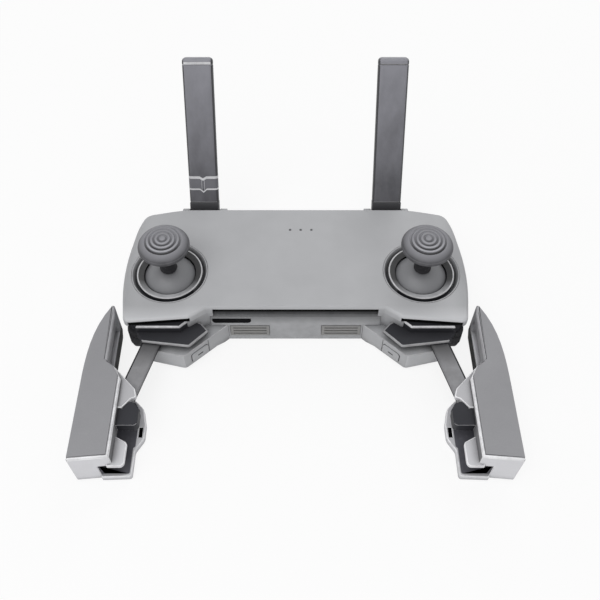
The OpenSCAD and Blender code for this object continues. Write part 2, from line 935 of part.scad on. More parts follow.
module antenna_frame(s) {
  translate([s * ant_x, ant_y, ant_z]) rotate([-antenna_lean, 0, 0]) children();
}

module antenna_section(shrink = 0) {
  w = antenna_w / 2 - shrink;
  t = antenna_t / 2 - shrink;
  r = 1.7 - shrink;
  polygon(rounded([[w, -t, r], [w, t, r], [-w, t, r], [-w, -t, r]]));
}

module antenna_knuckle(s) {
  color(dark) antenna_frame(s) difference() {
    union() {
      rod_x(antenna_t / 2, -antenna_w / 2, antenna_w / 2, 0, 0);
      box(-antenna_w / 2, antenna_w / 2, -antenna_t / 2, antenna_t / 2, 0, knuckle_h);
    }
    rod_x(ant_pin_r + run_gap, -antenna_w, antenna_w, 0, 0);
  }
}

module left_antenna_knuckle() {
  antenna_knuckle(-1);
}

module right_antenna_knuckle() {
  antenna_knuckle(1);
}

module antenna_blade(s) {
  color(dark) antenna_frame(s) slab(knuckle_h, antenna_len - tip_h) antenna_section();
}

module left_antenna_blade() {
  antenna_blade(-1);
}

module right_antenna_blade() {
  antenna_blade(1);
}

module antenna_tip(s) {
  w = antenna_w / 2;
  color(dark) antenna_frame(s) intersection() {
    slab(antenna_len - tip_h, antenna_len) antenna_section();
    translate([0, antenna_t, 0]) rotate([90, 0, 0]) linear_extrude(2 * antenna_t) polygon(rounded([
      [w, antenna_len - tip_h - 3, 0], [w, antenna_len, 2.6],
      [-w, antenna_len, 2.6], [-w, antenna_len - tip_h - 3, 0]
    ]));
    translate([antenna_w, 0, 0]) rotate([0, -90, 0]) linear_extrude(2 * antenna_w) polygon(rounded([
      [antenna_len - tip_h - 3, -antenna_t / 2, 0], [antenna_len, -antenna_t / 2, 1.4],
      [antenna_len, antenna_t / 2, 1.4], [antenna_len - tip_h - 3, antenna_t / 2, 0]
    ]));
  }
}

module left_antenna_tip() {
  antenna_tip(-1);
}

module right_antenna_tip() {
  antenna_tip(1);
}

module antenna_pin(s) {
  half = ant_slot + ear_w - 0.4;
  color(steel) rod_x(ant_pin_r, s * ant_x - half, s * ant_x + half, ant_y, ant_z);
}

module left_antenna_pin() {
  antenna_pin(-1);
}

module right_antenna_pin() {
  antenna_pin(1);
}

module dial_axle() {
  color(steel) rod_z(axle_r, dial_x, dial_y, floor_z, dial_z + dial_t + 0.6);
}

module camera_dial() {
  color(dark) difference() {
    union() {
      rod_z(dial_r, dial_x, dial_y, dial_z, dial_z + dial_t, $fn = 60);
    }
    for (i = [0:35]) translate([dial_x, dial_y, 0]) rotate([0, 0, i * 10])
      box(dial_r - 0.4, dial_r + 1, -0.3, 0.3, dial_z + 0.8, dial_z + dial_t - 0.8);
    rod_z(axle_r + run_gap, dial_x, dial_y, 0, 20);
  }
}

module back_key(s) {
  color(grey) key_frame(s) union() {
    plate(key_w, key_h, -wall - 0.4, press + 0.3);
    plate(key_w + 1.8, key_h + 1.8, -wall - 1.4, -wall - 0.4);
  }
}

module record_button() {
  back_key(-1);
}

module photo_button() {
  back_key(1);
}

module foot_key(s) {
  color(grey) foot_key_frame(s) plate(pad_key_w, pad_key_h, -press + 0.3, 3.2);
}

module home_button() {
  foot_key(-1);
}

module power_button() {
  foot_key(1);
}

top_shell();
bottom_shell();
trim_strip();
front_panel();
left_store_pad();
right_store_pad();
led_guide();
main_board();
battery_pack();
usb_port();
screw_front_left();
screw_front_right();
screw_back_left();
screw_back_right();
left_bezel_ring();
right_bezel_ring();
left_gimbal_housing();
right_gimbal_housing();
left_gimbal_yoke();
right_gimbal_yoke();
left_stick_shaft();
right_stick_shaft();
left_stick_dome();
right_stick_dome();
left_stick_cap();
right_stick_cap();
left_hinge_cover();
right_hinge_cover();
left_arm_pin();
right_arm_pin();
left_link_arm();
right_link_arm();
left_clamp_shell();
right_clamp_shell();
left_clamp_cover();
right_clamp_cover();
left_clamp_knuckle();
right_clamp_knuckle();
left_clamp_pad();
right_clamp_pad();
left_clamp_pin();
right_clamp_pin();
left_antenna_knuckle();
right_antenna_knuckle();
left_antenna_blade();
right_antenna_blade();
left_antenna_tip();
right_antenna_tip();
left_antenna_pin();
right_antenna_pin();
dial_axle();
camera_dial();
record_button();
photo_button();
home_button();
power_button();
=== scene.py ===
"""Dresses the solids of a folding radio transmitter with softened edges, fine details and finishes."""

import json
import math

import bmesh
import bpy
from mathutils import Matrix, Vector

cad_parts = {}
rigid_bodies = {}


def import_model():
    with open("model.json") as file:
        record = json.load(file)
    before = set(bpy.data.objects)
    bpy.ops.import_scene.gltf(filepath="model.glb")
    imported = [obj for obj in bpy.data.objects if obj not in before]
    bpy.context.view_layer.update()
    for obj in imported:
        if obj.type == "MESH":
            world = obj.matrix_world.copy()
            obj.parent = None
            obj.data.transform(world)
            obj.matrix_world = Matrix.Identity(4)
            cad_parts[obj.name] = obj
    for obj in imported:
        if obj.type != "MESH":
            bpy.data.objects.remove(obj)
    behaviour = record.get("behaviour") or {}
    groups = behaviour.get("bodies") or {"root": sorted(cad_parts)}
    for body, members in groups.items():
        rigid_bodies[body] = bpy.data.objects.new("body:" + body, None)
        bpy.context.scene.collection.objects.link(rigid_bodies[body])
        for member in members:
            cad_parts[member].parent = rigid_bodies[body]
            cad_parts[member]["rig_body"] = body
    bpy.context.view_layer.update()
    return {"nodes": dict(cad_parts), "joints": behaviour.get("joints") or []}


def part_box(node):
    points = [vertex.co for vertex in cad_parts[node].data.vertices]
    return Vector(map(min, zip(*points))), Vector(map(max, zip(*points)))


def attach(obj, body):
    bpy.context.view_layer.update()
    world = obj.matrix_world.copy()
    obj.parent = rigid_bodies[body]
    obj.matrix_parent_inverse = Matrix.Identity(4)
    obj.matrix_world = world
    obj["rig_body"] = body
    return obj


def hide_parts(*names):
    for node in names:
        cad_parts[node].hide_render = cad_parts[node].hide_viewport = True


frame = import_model()

bl_info = {
    "name": "Folding Radio Transmitter",
    "version": (1, 0, 0),
    "blender": (4, 5, 0),
    "location": "View3D > Sidebar > Transmitter",
    "description": "Softened edges, fine details and finishes for a folding radio transmitter",
    "category": "Object",
}

# Sizes and places are in millimetres, times MM where Blender takes metres
MM = 0.001

# The two sides, each with the way that X runs outwards
SIDES = (("left", -1), ("right", 1))

# A face looks along an axis where its normal has this share of it, and leans that way from the lower one
FACING = 0.8
LEANING = 0.3

# A length under this counts as none
NOTHING = 1e-6

# Share of the small edge that is right for thin metal
METAL_EDGE = 0.6


# Settings


def colour_setting(name, description, default):
    """A colour that a user may change."""
    return bpy.props.FloatVectorProperty(
        name=name, description=description, default=default, subtype="COLOR", min=0.0, max=1.0, size=3
    )


def length_setting(name, description, default):
    """A small length that a user may change, up to 2 mm."""
    return bpy.props.FloatProperty(
        name=name, description=description, default=default, min=0.0, max=2 * MM, precision=5, unit="LENGTH"
    )


def power_setting(name, description, default):
    """A lamp's power that a user may change."""
    return bpy.props.FloatProperty(
        name=name, description=description, default=default, min=0.0, max=600.0, unit="POWER"
    )


class TransmitterFinishes(bpy.types.PropertyGroup):
    """Colours of the transmitter's mouldings and metal."""

    shell: colour_setting("Shell", "Matte grey of the upper and lower body", (0.465, 0.47, 0.485))
    ring: colour_setting("Bezel ring", "Paler grey of the rings round the sticks", (0.47, 0.475, 0.49))
    dome: colour_setting("Dome", "Grey of the dust domes under the sticks", (0.23, 0.233, 0.245))
    cap: colour_setting("Stick cap", "Dark grey of the ridged stick caps", (0.13, 0.13, 0.14))
    pad: colour_setting("Storage pad", "Mid grey of the two ribbed pads", (0.29, 0.287, 0.282))
    # The dark colour also paints shade in the bezel grooves
    dark: colour_setting("Dark moulding", "Dark plastic of covers and knuckles", (0.055, 0.056, 0.066))
    link: colour_setting("Link", "Satin dark grey of the link arms", (0.25, 0.25, 0.26))
    clamp: colour_setting("Clamp", "Pale grey of the clamp shells", (0.50, 0.50, 0.52))
    panel: colour_setting("Clamp panel", "Mid grey of the clamp's top panels", (0.30, 0.30, 0.315))
    antenna: colour_setting("Antenna", "Dark grey of the antennas", (0.13, 0.13, 0.145))
    # The edge colour paints highlights along roundings, crests and rims, as well as the rubbed wear on the
    # antenna
    edge: colour_setting("Rubbed edge", "Pale tone of edges that hands have rubbed", (0.72, 0.72, 0.74))
    # The rubber black also paints shade in deep gaps, on the tub's corners beside the links and on the link
    # arms' sides
    rubber: colour_setting("Rubber", "Black of the grip pads and of deep gaps", (0.018, 0.018, 0.021))
    steel: colour_setting("Steel", "Colour of pins, screws and the charging socket", (0.60, 0.61, 0.63))


class TransmitterSizes(bpy.types.PropertyGroup):
    """Sizes of the details that the solids leave out."""

    shell_edge: length_setting("Shell edge", "Rounding of the body's moulded edges", 0.00025)
    # The clamp edge roundings carry painted highlights
    clamp_edge: length_setting("Clamp edge", "Width of the rubbed edges on clamps and covers", 0.00038)
    small_edge: length_setting("Small edge", "Rounding of keys, pads and pins", 0.00018)
    seam: length_setting("Seam", "Width of the seams across the antennas", 0.0003)
    crease: length_setting("Crease", "Width of the pale stress lines on the left antenna", 0.001)


class TransmitterStage(bpy.types.PropertyGroup):
    """Camera and light of the picture."""

    camera_lens: bpy.props.FloatProperty(
        name="Lens", description="Focal length", default=44.29, min=10.0, max=200.0, unit="CAMERA"
    )
    camera_pitch: bpy.props.FloatProperty(
        name="Pitch",
        description="How far the camera looks down",
        default=math.radians(54.525),
        subtype="ANGLE",
    )
    camera_place: bpy.props.FloatVectorProperty(
        name="Place",
        description="Where the camera stands",
        default=(0.0, -0.19925, 0.27174),
        subtype="TRANSLATION",
    )
    camera_shift: bpy.props.FloatProperty(
        name="Shift", description="Sideways shift of the picture", default=0.0075, min=-0.5, max=0.5
    )
    sky: bpy.props.FloatProperty(
        name="Sky", description="Strength of the even light", default=0.42, min=0.0, max=5.0
    )
    key_light: power_setting("Key light", "Power of the large lamp above", 5.1)
    back_light: power_setting("Back light", "Power of the lamp behind", 1.87)


# Finishes


def scaled(colour, share):
    """A colour, darker or lighter."""
    return tuple(share * c for c in colour)


def tint(colour, share):
    """A colour, darker or lighter, as a shader takes it."""
    return tuple(min(1.0, c * share) for c in colour) + (1.0,)


class Finish:
    """A material under construction: one principled shader and the textures that feed it."""

    # Colour of the painted shade in corners and gaps
    corner_shade = (0.012, 0.012, 0.014, 1.0)

    def __init__(self, name, rough, metal=0.0, specular=0.5):
        self.material = bpy.data.materials.new(name)
        self.material.use_nodes = True
        self.tree = self.material.node_tree
        self.shader = self.tree.nodes["Principled BSDF"]
        self.shader.inputs["Roughness"].default_value = rough
        self.shader.inputs["Metallic"].default_value = metal
        self.shader.inputs["Specular IOR Level"].default_value = specular
        self.coord = self.tree.nodes.new("ShaderNodeTexCoord")

    def node(self, kind, **values):
        """A new node, with its sockets and its options at these values."""
        made = self.tree.nodes.new(kind)
        for key, value in values.items():
            if key in made.inputs:
                made.inputs[key].default_value = value
            else:
                setattr(made, key, value)
        return made

    def link(self, source, target):
        self.tree.links.new(source, target)

    def along(self, axis, kind="Object"):
        """Where a point lies along an axis, in metres, or how far its normal goes that way."""
        split = self.node("ShaderNodeSeparateXYZ")
        self.link(self.coord.outputs[kind], split.inputs["Vector"])
        return split.outputs[axis]

    def noise(self, scale, detail=2.0, rough=0.5, stretch=(1.0, 1.0, 1.0)):
        """Noise with so many cells to a metre, squeezed along the axes by stretch."""
        place = self.node("ShaderNodeMapping", Scale=stretch)
        self.link(self.coord.outputs["Object"], place.inputs["Vector"])
        made = self.node("ShaderNodeTexNoise", Scale=scale, Detail=detail, Roughness=rough)
        self.link(place.outputs["Vector"], made.inputs["Vector"])
        return made.outputs["Fac"]

    def spread(self, value, low, high, to=(0.0, 1.0), curve="LINEAR"):
        """A value whose range from low to high is stretched to another range."""
        ends = {"From Min": low, "From Max": high, "To Min": to[0], "To Max": to[1]}
        made = self.node("ShaderNodeMapRange", interpolation_type=curve, **ends)
        self.link(value, made.inputs["Value"])
        return made.outputs["Result"]

    def cloud(self, scale, detail=2.0, rough=0.5, to=(0.0, 1.0)):
        """Soft patches between two values."""
        return self.spread(self.noise(scale, detail, rough), 0.3, 0.7, to)

    def result(self, operation, *values, clamp=False):
        """The result of a sum on one or two values, kept between 0 and 1 where it is clamped."""
        made = self.node("ShaderNodeMath", operation=operation, use_clamp=clamp)
        for value, socket in zip(values, made.inputs):
            self.link(value, socket)
        return made.outputs[0]

    def mix(self, factor, a, b):
        """A colour between a and b."""
        made = self.node("ShaderNodeMix", data_type="RGBA", clamp_result=True)
        for socket, value in ((made.inputs[0], factor), (made.inputs[6], a), (made.inputs[7], b)):
            if hasattr(value, "is_linked"):
                self.link(value, socket)
            else:
                socket.default_value = value
        return made.outputs[2]

    def scuffed(self, tone, rubbed, amount):
        """The tone with a few light scuffs."""
        rub = self.noise(120.0, detail=4.0, rough=0.62, stretch=(1.0, 5.0, 1.0))
        return self.mix(self.spread(rub, 0.62, 0.74, to=(0.0, amount)), tone, rubbed)

    def shade_in_corners(self, tone, depth, strength):
        """The tone with painted shade in corners and gaps, where ambient occlusion finds them."""
        near = self.node("ShaderNodeAmbientOcclusion", samples=6, Distance=depth)
        hidden = self.spread(near.outputs["AO"], 0.25, 0.9, to=(strength, 0.0))
        return self.mix(hidden, tone, self.corner_shade)

    def colour(self, socket):
        self.link(socket, self.shader.inputs["Base Color"])

    def rough(self, socket):
        self.link(socket, self.shader.inputs["Roughness"])

    def bump(self, socket, strength, depth):
        made = self.node("ShaderNodeBump", Strength=strength, Distance=depth)
        self.link(socket, made.inputs["Height"])
        self.link(made.outputs["Normal"], self.shader.inputs["Normal"])


def moulding(name, colour, rough, grain, mottle, scuffs, specular=0.5):
    """Spark-eroded plastic: fine grain, slow changes of tone, a few light scuffs, and painted shade in
    corners.
    """
    made = Finish(name, rough, specular=specular)
    slow = made.cloud(38.0, detail=3.0, rough=0.6)
    tone = made.mix(slow, tint(colour, 1.0 - mottle), tint(colour, 1.0 + mottle))
    speck = made.spread(made.noise(2600.0, detail=1.0), 0.35, 0.65, to=(0.0, 0.16))
    tone = made.mix(speck, tone, tint(colour, 0.8))
    tone = made.scuffed(tone, tint(colour, 1.55), scuffs)
    made.colour(made.shade_in_corners(tone, depth=4.5 * MM, strength=0.75))
    made.rough(made.cloud(90.0, detail=3.0, to=(rough - 0.07, rough + 0.07)))
    made.bump(made.noise(3400.0, rough=0.6), strength=grain, depth=0.05 * MM)
    return made.material


def face_plastic(name, colour):
    """The face's moulding: painted shade towards its two ends, where its sides round off, and painted light
    on its front lobes.
    """
    low, high = extent("top_shell")
    side_shade = ((high.x - 9.4) * MM, (high.x + 2.1) * MM)
    lobe = ((low.y + 7.6) * MM, low.y * MM)
    made = Finish(name, rough=0.5)
    slow = made.cloud(38.0, detail=3.0, rough=0.6)
    tone = made.mix(slow, tint(colour, 0.96), tint(colour, 1.05))
    off = made.result("ABSOLUTE", made.along("X"))
    # Painted shade towards both ends of the face
    tone = made.mix(made.spread(off, *side_shade, curve="SMOOTHSTEP"), tone, tint(colour, 0.8))
    # Painted light on the front lobes
    tone = made.mix(made.spread(made.along("Y"), *lobe), tone, tint(colour, 1.36))
    tone = made.scuffed(tone, tint(colour, 1.4), 0.06)
    made.colour(made.shade_in_corners(tone, depth=2.5 * MM, strength=0.5))
    made.rough(made.cloud(90.0, detail=3.0, to=(0.43, 0.57)))
    made.bump(made.noise(3400.0, rough=0.6), strength=0.22, depth=0.05 * MM)
    return made.material


def blade_plastic(name, colour):
    """Satin antenna plastic that darkens towards the hinge."""
    low, high = extent("left_antenna_blade")
    made = Finish(name, rough=0.46)
    streak = made.noise(150.0, detail=3.0, rough=0.6, stretch=(1.0, 1.0, 0.16))
    streak = made.spread(streak, 0.3, 0.7, to=(-0.16, 0.16))
    rise = made.spread(made.along("Z"), low.z * MM, high.z * MM)
    rise = made.result("ADD", rise, streak, clamp=True)
    tone = made.mix(rise, tint(colour, 0.62), tint(colour, 2.0))
    rub = made.noise(240.0, detail=4.0, rough=0.62, stretch=(1.0, 1.0, 0.3))
    made.colour(made.mix(made.spread(rub, 0.62, 0.76, to=(0.0, 0.1)), tone, tint(colour, 1.9)))
    made.rough(made.cloud(90.0, detail=3.0, to=(0.4, 0.53)))
    made.bump(made.noise(3000.0, rough=0.6), strength=0.2, depth=0.05 * MM)
    return made.material


def edge_highlight_and_wear(name, colour, rough=0.36):
    """The bright line along an edge: a painted highlight where a rounding meets the light, and polish from
    handling, thinner in places.
    """
    made = Finish(name, rough)
    breaks = made.spread(made.noise(160.0, detail=4.0, rough=0.65), 0.36, 0.6)
    made.colour(made.mix(breaks, tint(colour, 0.72), tint(colour, 1.0)))
    made.rough(made.cloud(420.0, to=(rough - 0.08, rough + 0.1)))
    made.bump(made.noise(2200.0), strength=0.15, depth=0.04 * MM)
    return made.material


def rubber(name, colour, rough=0.72, specular=0.35):
    """Matte rubber with a fine open grain and a little dust."""
    made = Finish(name, rough, specular=specular)
    tone = made.mix(made.cloud(70.0, detail=3.0), tint(colour, 0.85), tint(colour, 1.15))
    dust = made.spread(made.noise(900.0, detail=3.0, rough=0.7), 0.58, 0.72, to=(0.0, 0.3 * specular))
    made.colour(made.mix(dust, tone, (0.42, 0.42, 0.43, 1.0)))
    made.rough(made.cloud(240.0, to=(rough - 0.06, rough + 0.08)))
    made.bump(made.noise(2400.0, detail=3.0, rough=0.65), strength=0.35, depth=0.06 * MM)
    return made.material


def shaded_rubber(name, colour, low, high):
    """Matte rubber that is paler where it faces up, between two tones of its colour."""
    made = Finish(name, rough=0.62, specular=0.35)
    up = made.spread(made.along("Z", "Normal"), 0.5, 0.9)
    tone = made.mix(up, tint(colour, low), tint(colour, high))
    cloud = made.spread(made.noise(160.0, detail=3.0, rough=0.6), 0.35, 0.65, to=(0.0, 0.3))
    made.colour(made.mix(cloud, tone, tint(colour, 0.84 * high)))
    made.rough(made.cloud(240.0, to=(0.56, 0.7)))
    made.bump(made.noise(2400.0, detail=3.0, rough=0.65), strength=0.3, depth=0.06 * MM)
    return made.material


def fading(name, colour, shares, axis, ends, rough=0.6, specular=0.4):
    """A moulding whose tone runs between two shares of its colour, over a stretch in millimetres."""
    made = Finish(name, rough, specular=specular)
    run = made.spread(made.along(axis), ends[0] * MM, ends[1] * MM)
    tone = made.mix(run, tint(colour, shares[0]), tint(colour, shares[1]))
    cloud = made.spread(made.noise(220.0, detail=3.0, rough=0.6), 0.35, 0.65, to=(0.0, 0.22))
    made.colour(made.mix(cloud, tone, tint(colour, 0.7 * min(shares))))
    made.rough(made.cloud(300.0, to=(rough - 0.06, rough + 0.08)))
    made.bump(made.noise(2600.0, rough=0.6), strength=0.2, depth=0.05 * MM)
    return made.material


def brushed_steel(name, colour):
    """Turned and plated steel with fine lines."""
    made = Finish(name, rough=0.32, metal=1.0)
    lines = made.noise(900.0, detail=3.0, rough=0.6, stretch=(1.0, 1.0, 14.0))
    made.colour(made.mix(made.spread(lines, 0.3, 0.7), tint(colour, 0.82), tint(colour, 1.05)))
    made.rough(made.spread(lines, 0.3, 0.7, to=(0.24, 0.42)))
    made.bump(lines, strength=0.08, depth=0.03 * MM)
    return made.material


def smoked_lens(name):
    """Smoked clear plastic that carries the light of the indicator."""
    made = Finish(name, rough=0.18)
    made.colour(made.mix(made.cloud(500.0), (0.035, 0.036, 0.04, 1.0), (0.06, 0.061, 0.066, 1.0)))
    made.bump(made.noise(1500.0, detail=1.0), strength=0.05, depth=0.02 * MM)
    return made.material


def circuit_board(name):
    """Green solder resist with copper tracks under it."""
    made = Finish(name, rough=0.35)
    copper = {"Mortar Size": 0.05, "Mortar": (0.10, 0.30, 0.14, 1.0)}
    resist = {"Color1": (0.02, 0.13, 0.06, 1.0), "Color2": (0.03, 0.17, 0.08, 1.0)}
    tracks = made.node("ShaderNodeTexBrick", Scale=260.0, **copper, **resist)
    made.link(made.coord.outputs["Object"], tracks.inputs["Vector"])
    made.colour(tracks.outputs["Color"])
    made.bump(tracks.outputs["Fac"], strength=0.2, depth=0.04 * MM)
    return made.material


def wrapped_cell(name):
    """Shrink film round the battery, with soft wrinkles."""
    made = Finish(name, rough=0.3)
    made.colour(made.mix(made.cloud(60.0), (0.05, 0.05, 0.06, 1.0), (0.09, 0.09, 0.11, 1.0)))
    wrinkles = made.noise(220.0, detail=4.0, rough=0.6, stretch=(1.0, 3.0, 1.0))
    made.bump(wrinkles, strength=0.3, depth=0.2 * MM)
    return made.material


def finish(name):
    """The named finish, made the first time that it is asked for."""
    label = "finish_" + name
    known = bpy.data.materials.get(label)
    if known:
        return known
    tones = bpy.context.scene.transmitter_finishes
    stick = middle_of("left_stick_cap").y
    hinge = middle_of("left_arm_pin").y
    groove = middle_of("left_clamp_pad").z
    panel_top = extent("front_panel")[1].z
    parting = extent("top_shell")[0].z
    # A moulding's numbers are its roughness, grain, mottle and scuffs, and then its gloss where that is low
    makers = {
        "face": lambda: face_plastic(label, scaled(tones.shell, 0.96)),
        "shell": lambda: moulding(label, tones.shell, 0.5, 0.22, 0.04, 0.06),
        # Painted light: a paler copy of the shell for the feet's front faces
        "foot": lambda: moulding(label, scaled(tones.shell, 1.25), 0.5, 0.22, 0.04, 0.06),
        # Painted shade: the front wall darkens towards the lip above it
        "wall": lambda: fading(label, tones.shell, (0.98, 0.5), "Z", (panel_top - 4.8, panel_top + 0.1)),
        # Painted shadow: the trim strip runs from grey to black just under the lip
        "trim": lambda: fading(
            label, tones.shell, (0.42, 0.004), "Z", (parting - 2.8, parting - 0.3), specular=0.05
        ),
        "pad": lambda: moulding(label, tones.pad, 0.55, 0.3, 0.05, 0.05),
        # Painted shade: the bezel's collar runs from pale at the front of the bowl to nearly black at its
        # back
        "ring": lambda: fading(label, tones.ring, (1.1, 0.1), "Y", (stick - 12, stick - 3.5), 0.5),
        # Painted highlight along the bezel's crest
        "crest": lambda: edge_highlight_and_wear(label, scaled(tones.edge, 0.9)),
        "dome": lambda: moulding(label, tones.dome, 0.42, 0.12, 0.05, 0.05),
        # Painted light and shade on the caps: paler where they face up, with painted highlights on the
        # ridges, strongest at the front, and painted shade in the grooves at the front only
        "cap": lambda: shaded_rubber(label, tones.cap, 0.5, 2.1),
        "ridge": lambda: fading(label, tones.cap, (3.2, 2.1), "Y", (stick - 4.5, stick + 1)),
        "cap_valley": lambda: fading(label, tones.cap, (0.2, 1.95), "Y", (stick - 4.5, stick + 2)),
        "dark": lambda: moulding(label, tones.dark, 0.42, 0.22, 0.12, 0.04),
        "hinge": lambda: moulding(label, scaled(tones.dark, 0.5), 0.5, 0.3, 0.2, 0.1, 0.25),
        # Painted shade: the link arms darken towards the hinge covers
        "link": lambda: fading(label, tones.link, (1.15, 0.45), "Y", (hinge - 19.6, hinge - 11.1), 0.4),
        "clamp": lambda: moulding(label, tones.clamp, 0.4, 0.12, 0.05, 0.08),
        # Painted shade: the clamp's inner wall at the tip runs to black below its groove
        "clamp_wall": lambda: fading(
            label, tones.clamp, (0.03, 0.9), "Z", (groove - 0.65, groove + 0.15), specular=0.05
        ),
        # Painted shade: a darker copy of the clamp for the rails' inner walls
        "rail_wall": lambda: moulding(label, scaled(tones.clamp, 0.4), 0.5, 0.15, 0.1, 0.06, 0.3),
        # Painted light: a paler copy of the clamp for its front ends, inner faces and groove floors
        "clamp_end": lambda: moulding(label, scaled(tones.clamp, 1.55), 0.45, 0.12, 0.05, 0.08),
        # Painted light: a paler copy of the clamp for the flanges that face up
        "flange": lambda: moulding(label, scaled(tones.clamp, 1.34), 0.45, 0.12, 0.05, 0.08),
        # Painted highlight along the clamps' top rims
        "rim": lambda: edge_highlight_and_wear(label, scaled(tones.edge, 1.36), 0.34),
        "knuckle": lambda: moulding(label, scaled(tones.dark, 0.6), 0.55, 0.2, 0.1, 0.04, 0.2),
        "panel": lambda: moulding(label, tones.panel, 0.55, 0.3, 0.05, 0.05),
        "antenna": lambda: blade_plastic(label, tones.antenna),
        # Painted shade: a darker copy of the antenna for its narrow sides and its knuckle
        "flank": lambda: moulding(label, scaled(tones.antenna, 0.3), 0.5, 0.2, 0.1, 0.04),
        "sleeve": lambda: moulding(label, scaled(tones.antenna, 1.15), 0.5, 0.3, 0.16, 0.2),
        # Painted highlights along roundings, crests, rims and seams, and real whitening on the worn
        # sleeve's lines
        "edge": lambda: edge_highlight_and_wear(label, tones.edge),
        "soft_edge": lambda: edge_highlight_and_wear(label, scaled(tones.edge, 0.74), 0.42),
        "plate_edge": lambda: edge_highlight_and_wear(label, scaled(tones.edge, 0.5), 0.4),
        "dark_edge": lambda: edge_highlight_and_wear(label, scaled(tones.edge, 0.42), 0.4),
        "rubber": lambda: rubber(label, tones.rubber),
        "grip": lambda: rubber(label, scaled(tones.rubber, 5.4)),
        # Near black: painted shade in the card slot and the clamp slots, and the dark seams beside the foot
        # keys
        "gap": lambda: rubber(label, scaled(tones.rubber, 0.4), 0.9, 0.05),
        "steel": lambda: brushed_steel(label, tones.steel),
        "lens": lambda: smoked_lens(label),
        "board": lambda: circuit_board(label),
        "cell": lambda: wrapped_cell(label),
    }
    return makers[name]()


# Places in the frame


def extent(node):
    """A solid's lowest and highest corners at rest, in millimetres."""
    return [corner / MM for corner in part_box(node)]


def middle_of(node):
    """The middle of a solid's box, in millimetres."""
    low, high = extent(node)
    return (low + high) / 2


def joint(name):
    """The frame's joint of that name."""
    return next(j for j in frame["joints"] if j["name"] == name)


# Mesh tools


def add_piece(name, bm, materials, body, slot, *nodes):
    """A finished mesh as a piece that rides on a body and stands for its solids."""
    mesh = bpy.data.meshes.new(name)
    bm.to_mesh(mesh)
    bm.free()
    for material in materials:
        mesh.materials.append(finish(material))
    piece = bpy.data.objects.new(name, mesh)
    bpy.context.scene.collection.objects.link(piece)
    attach(piece, body)
    if nodes:
        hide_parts(*nodes)
    return piece


def shade(piece, angle):
    """Smooth shading, led by the widest faces, that breaks at edges past an angle or marked as sharp."""
    bm = bmesh.new()
    bm.from_mesh(piece.data)
    limit = math.radians(angle)
    for face in bm.faces:
        face.smooth = True
    for edge in bm.edges:
        if edge.calc_face_angle(0.0) > limit:
            edge.smooth = False
    bm.to_mesh(piece.data)
    bm.free()
    even = piece.modifiers.new("Even shading", "WEIGHTED_NORMAL")
    even.keep_sharp = True
    even.weight = 100


def middle(edge):
    """An edge's middle in millimetres."""
    return (edge.verts[0].co + edge.verts[1].co) / 2 / MM


def skin_of(node, keep=None):
    """A clean copy of a solid's surface: welded, with flat faces joined up where keep doesn't say no."""
    weld = 3e-6
    flat = math.radians(0.6)
    bm = bmesh.new()
    bm.from_mesh(frame["nodes"][node].data)
    bmesh.ops.remove_doubles(bm, verts=bm.verts, dist=weld)
    bmesh.ops.dissolve_degenerate(bm, edges=bm.edges, dist=weld)
    joined = [e for e in bm.edges if not (keep and keep(middle(e)))]
    ends = list(dict.fromkeys(v for e in joined for v in e.verts))
    bmesh.ops.dissolve_limit(bm, angle_limit=flat, verts=ends, edges=joined)
    bmesh.ops.recalc_face_normals(bm, faces=bm.faces)
    return bm


def dress(node, materials, slot, width, steps=2, angle=38.0, keep=None, tone=None):
    """Adds a solid with its outer edges rounded, where keep doesn't say that they stay sharp.

    Each face takes the finish that tone names for its middle, its normal and whether it is a
    rounding. Without tone, the roundings take the last of the finishes.
    """
    bm = skin_of(node, keep)
    limit = math.radians(angle)
    sharp = [e for e in bm.edges if e.is_manifold and e.is_convex and e.calc_face_angle() > limit]
    if keep:
        sharp = [e for e in sharp if not keep(middle(e))]
    made = bmesh.ops.bevel(
        bm,
        geom=sharp,
        offset=width,
        offset_type="OFFSET",
        segments=steps,
        profile=0.5,
        affect="EDGES",
        clamp_overlap=False,
    )
    bm.normal_update()
    roundings = set(made["faces"])
    for face in bm.faces:
        rounding = face in roundings
        if tone:
            name = tone(face.calc_center_median() / MM, face.normal, rounding)
        else:
            name = materials[-1] if rounding else materials[0]
        face.material_index = materials.index(name)
    wide = [face for face in bm.faces if len(face.verts) > 4]
    for edge in {e for face in wide if face not in roundings for e in face.edges}:
        if any(face in roundings for face in edge.link_faces):
            edge.smooth = False
    bmesh.ops.triangulate(bm, faces=wide, quad_method="BEAUTY", ngon_method="BEAUTY")
    body = frame["nodes"][node]["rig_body"]
    shade(add_piece(node + "_dressed", bm, materials, body, slot, node), angle)


def paint(node, material):
    """Gives a finish to a solid that keeps its own shape."""
    solid = frame["nodes"][node]
    solid.data.materials.clear()
    solid.data.materials.append(finish(material))


def eased(points, steps=6):
    """A profile whose corners are rounded: points are (r, z, rounding)."""
    line = []
    for i, (r, z, ease) in enumerate(points):
        here = Vector((r, z))
        if ease == 0 or i in (0, len(points) - 1):
            line.append(here)
            continue
        before = (Vector(points[i - 1][:2]) - here).normalized()
        after = (Vector(points[i + 1][:2]) - here).normalized()
        reach = ease / math.tan(before.angle(after) / 2.0)
        start, end = here + before * reach, here + after * reach
        for k in range(steps + 1):
            t = k / steps
            line.append(start * (1 - t) ** 2 + here * 2 * t * (1 - t) + end * t**2)
    return line


def flowing(points, steps):
    """A smooth curve through (r, z) points."""
    ends = [points[0]] + list(points) + [points[-1]]
    line = []
    for p0, p1, p2, p3 in zip(ends, ends[1:], ends[2:], ends[3:]):
        a, b, c, d = (Vector(p) for p in (p0, p1, p2, p3))
        for k in range(steps):
            t = k / steps
            bend = (2 * a - 5 * b + 4 * c - d) * t**2 + (3 * b - a - 3 * c + d) * t**3
            line.append(0.5 * (2 * b + (c - a) * t + bend))
    line.append(Vector(points[-1]))
    return line


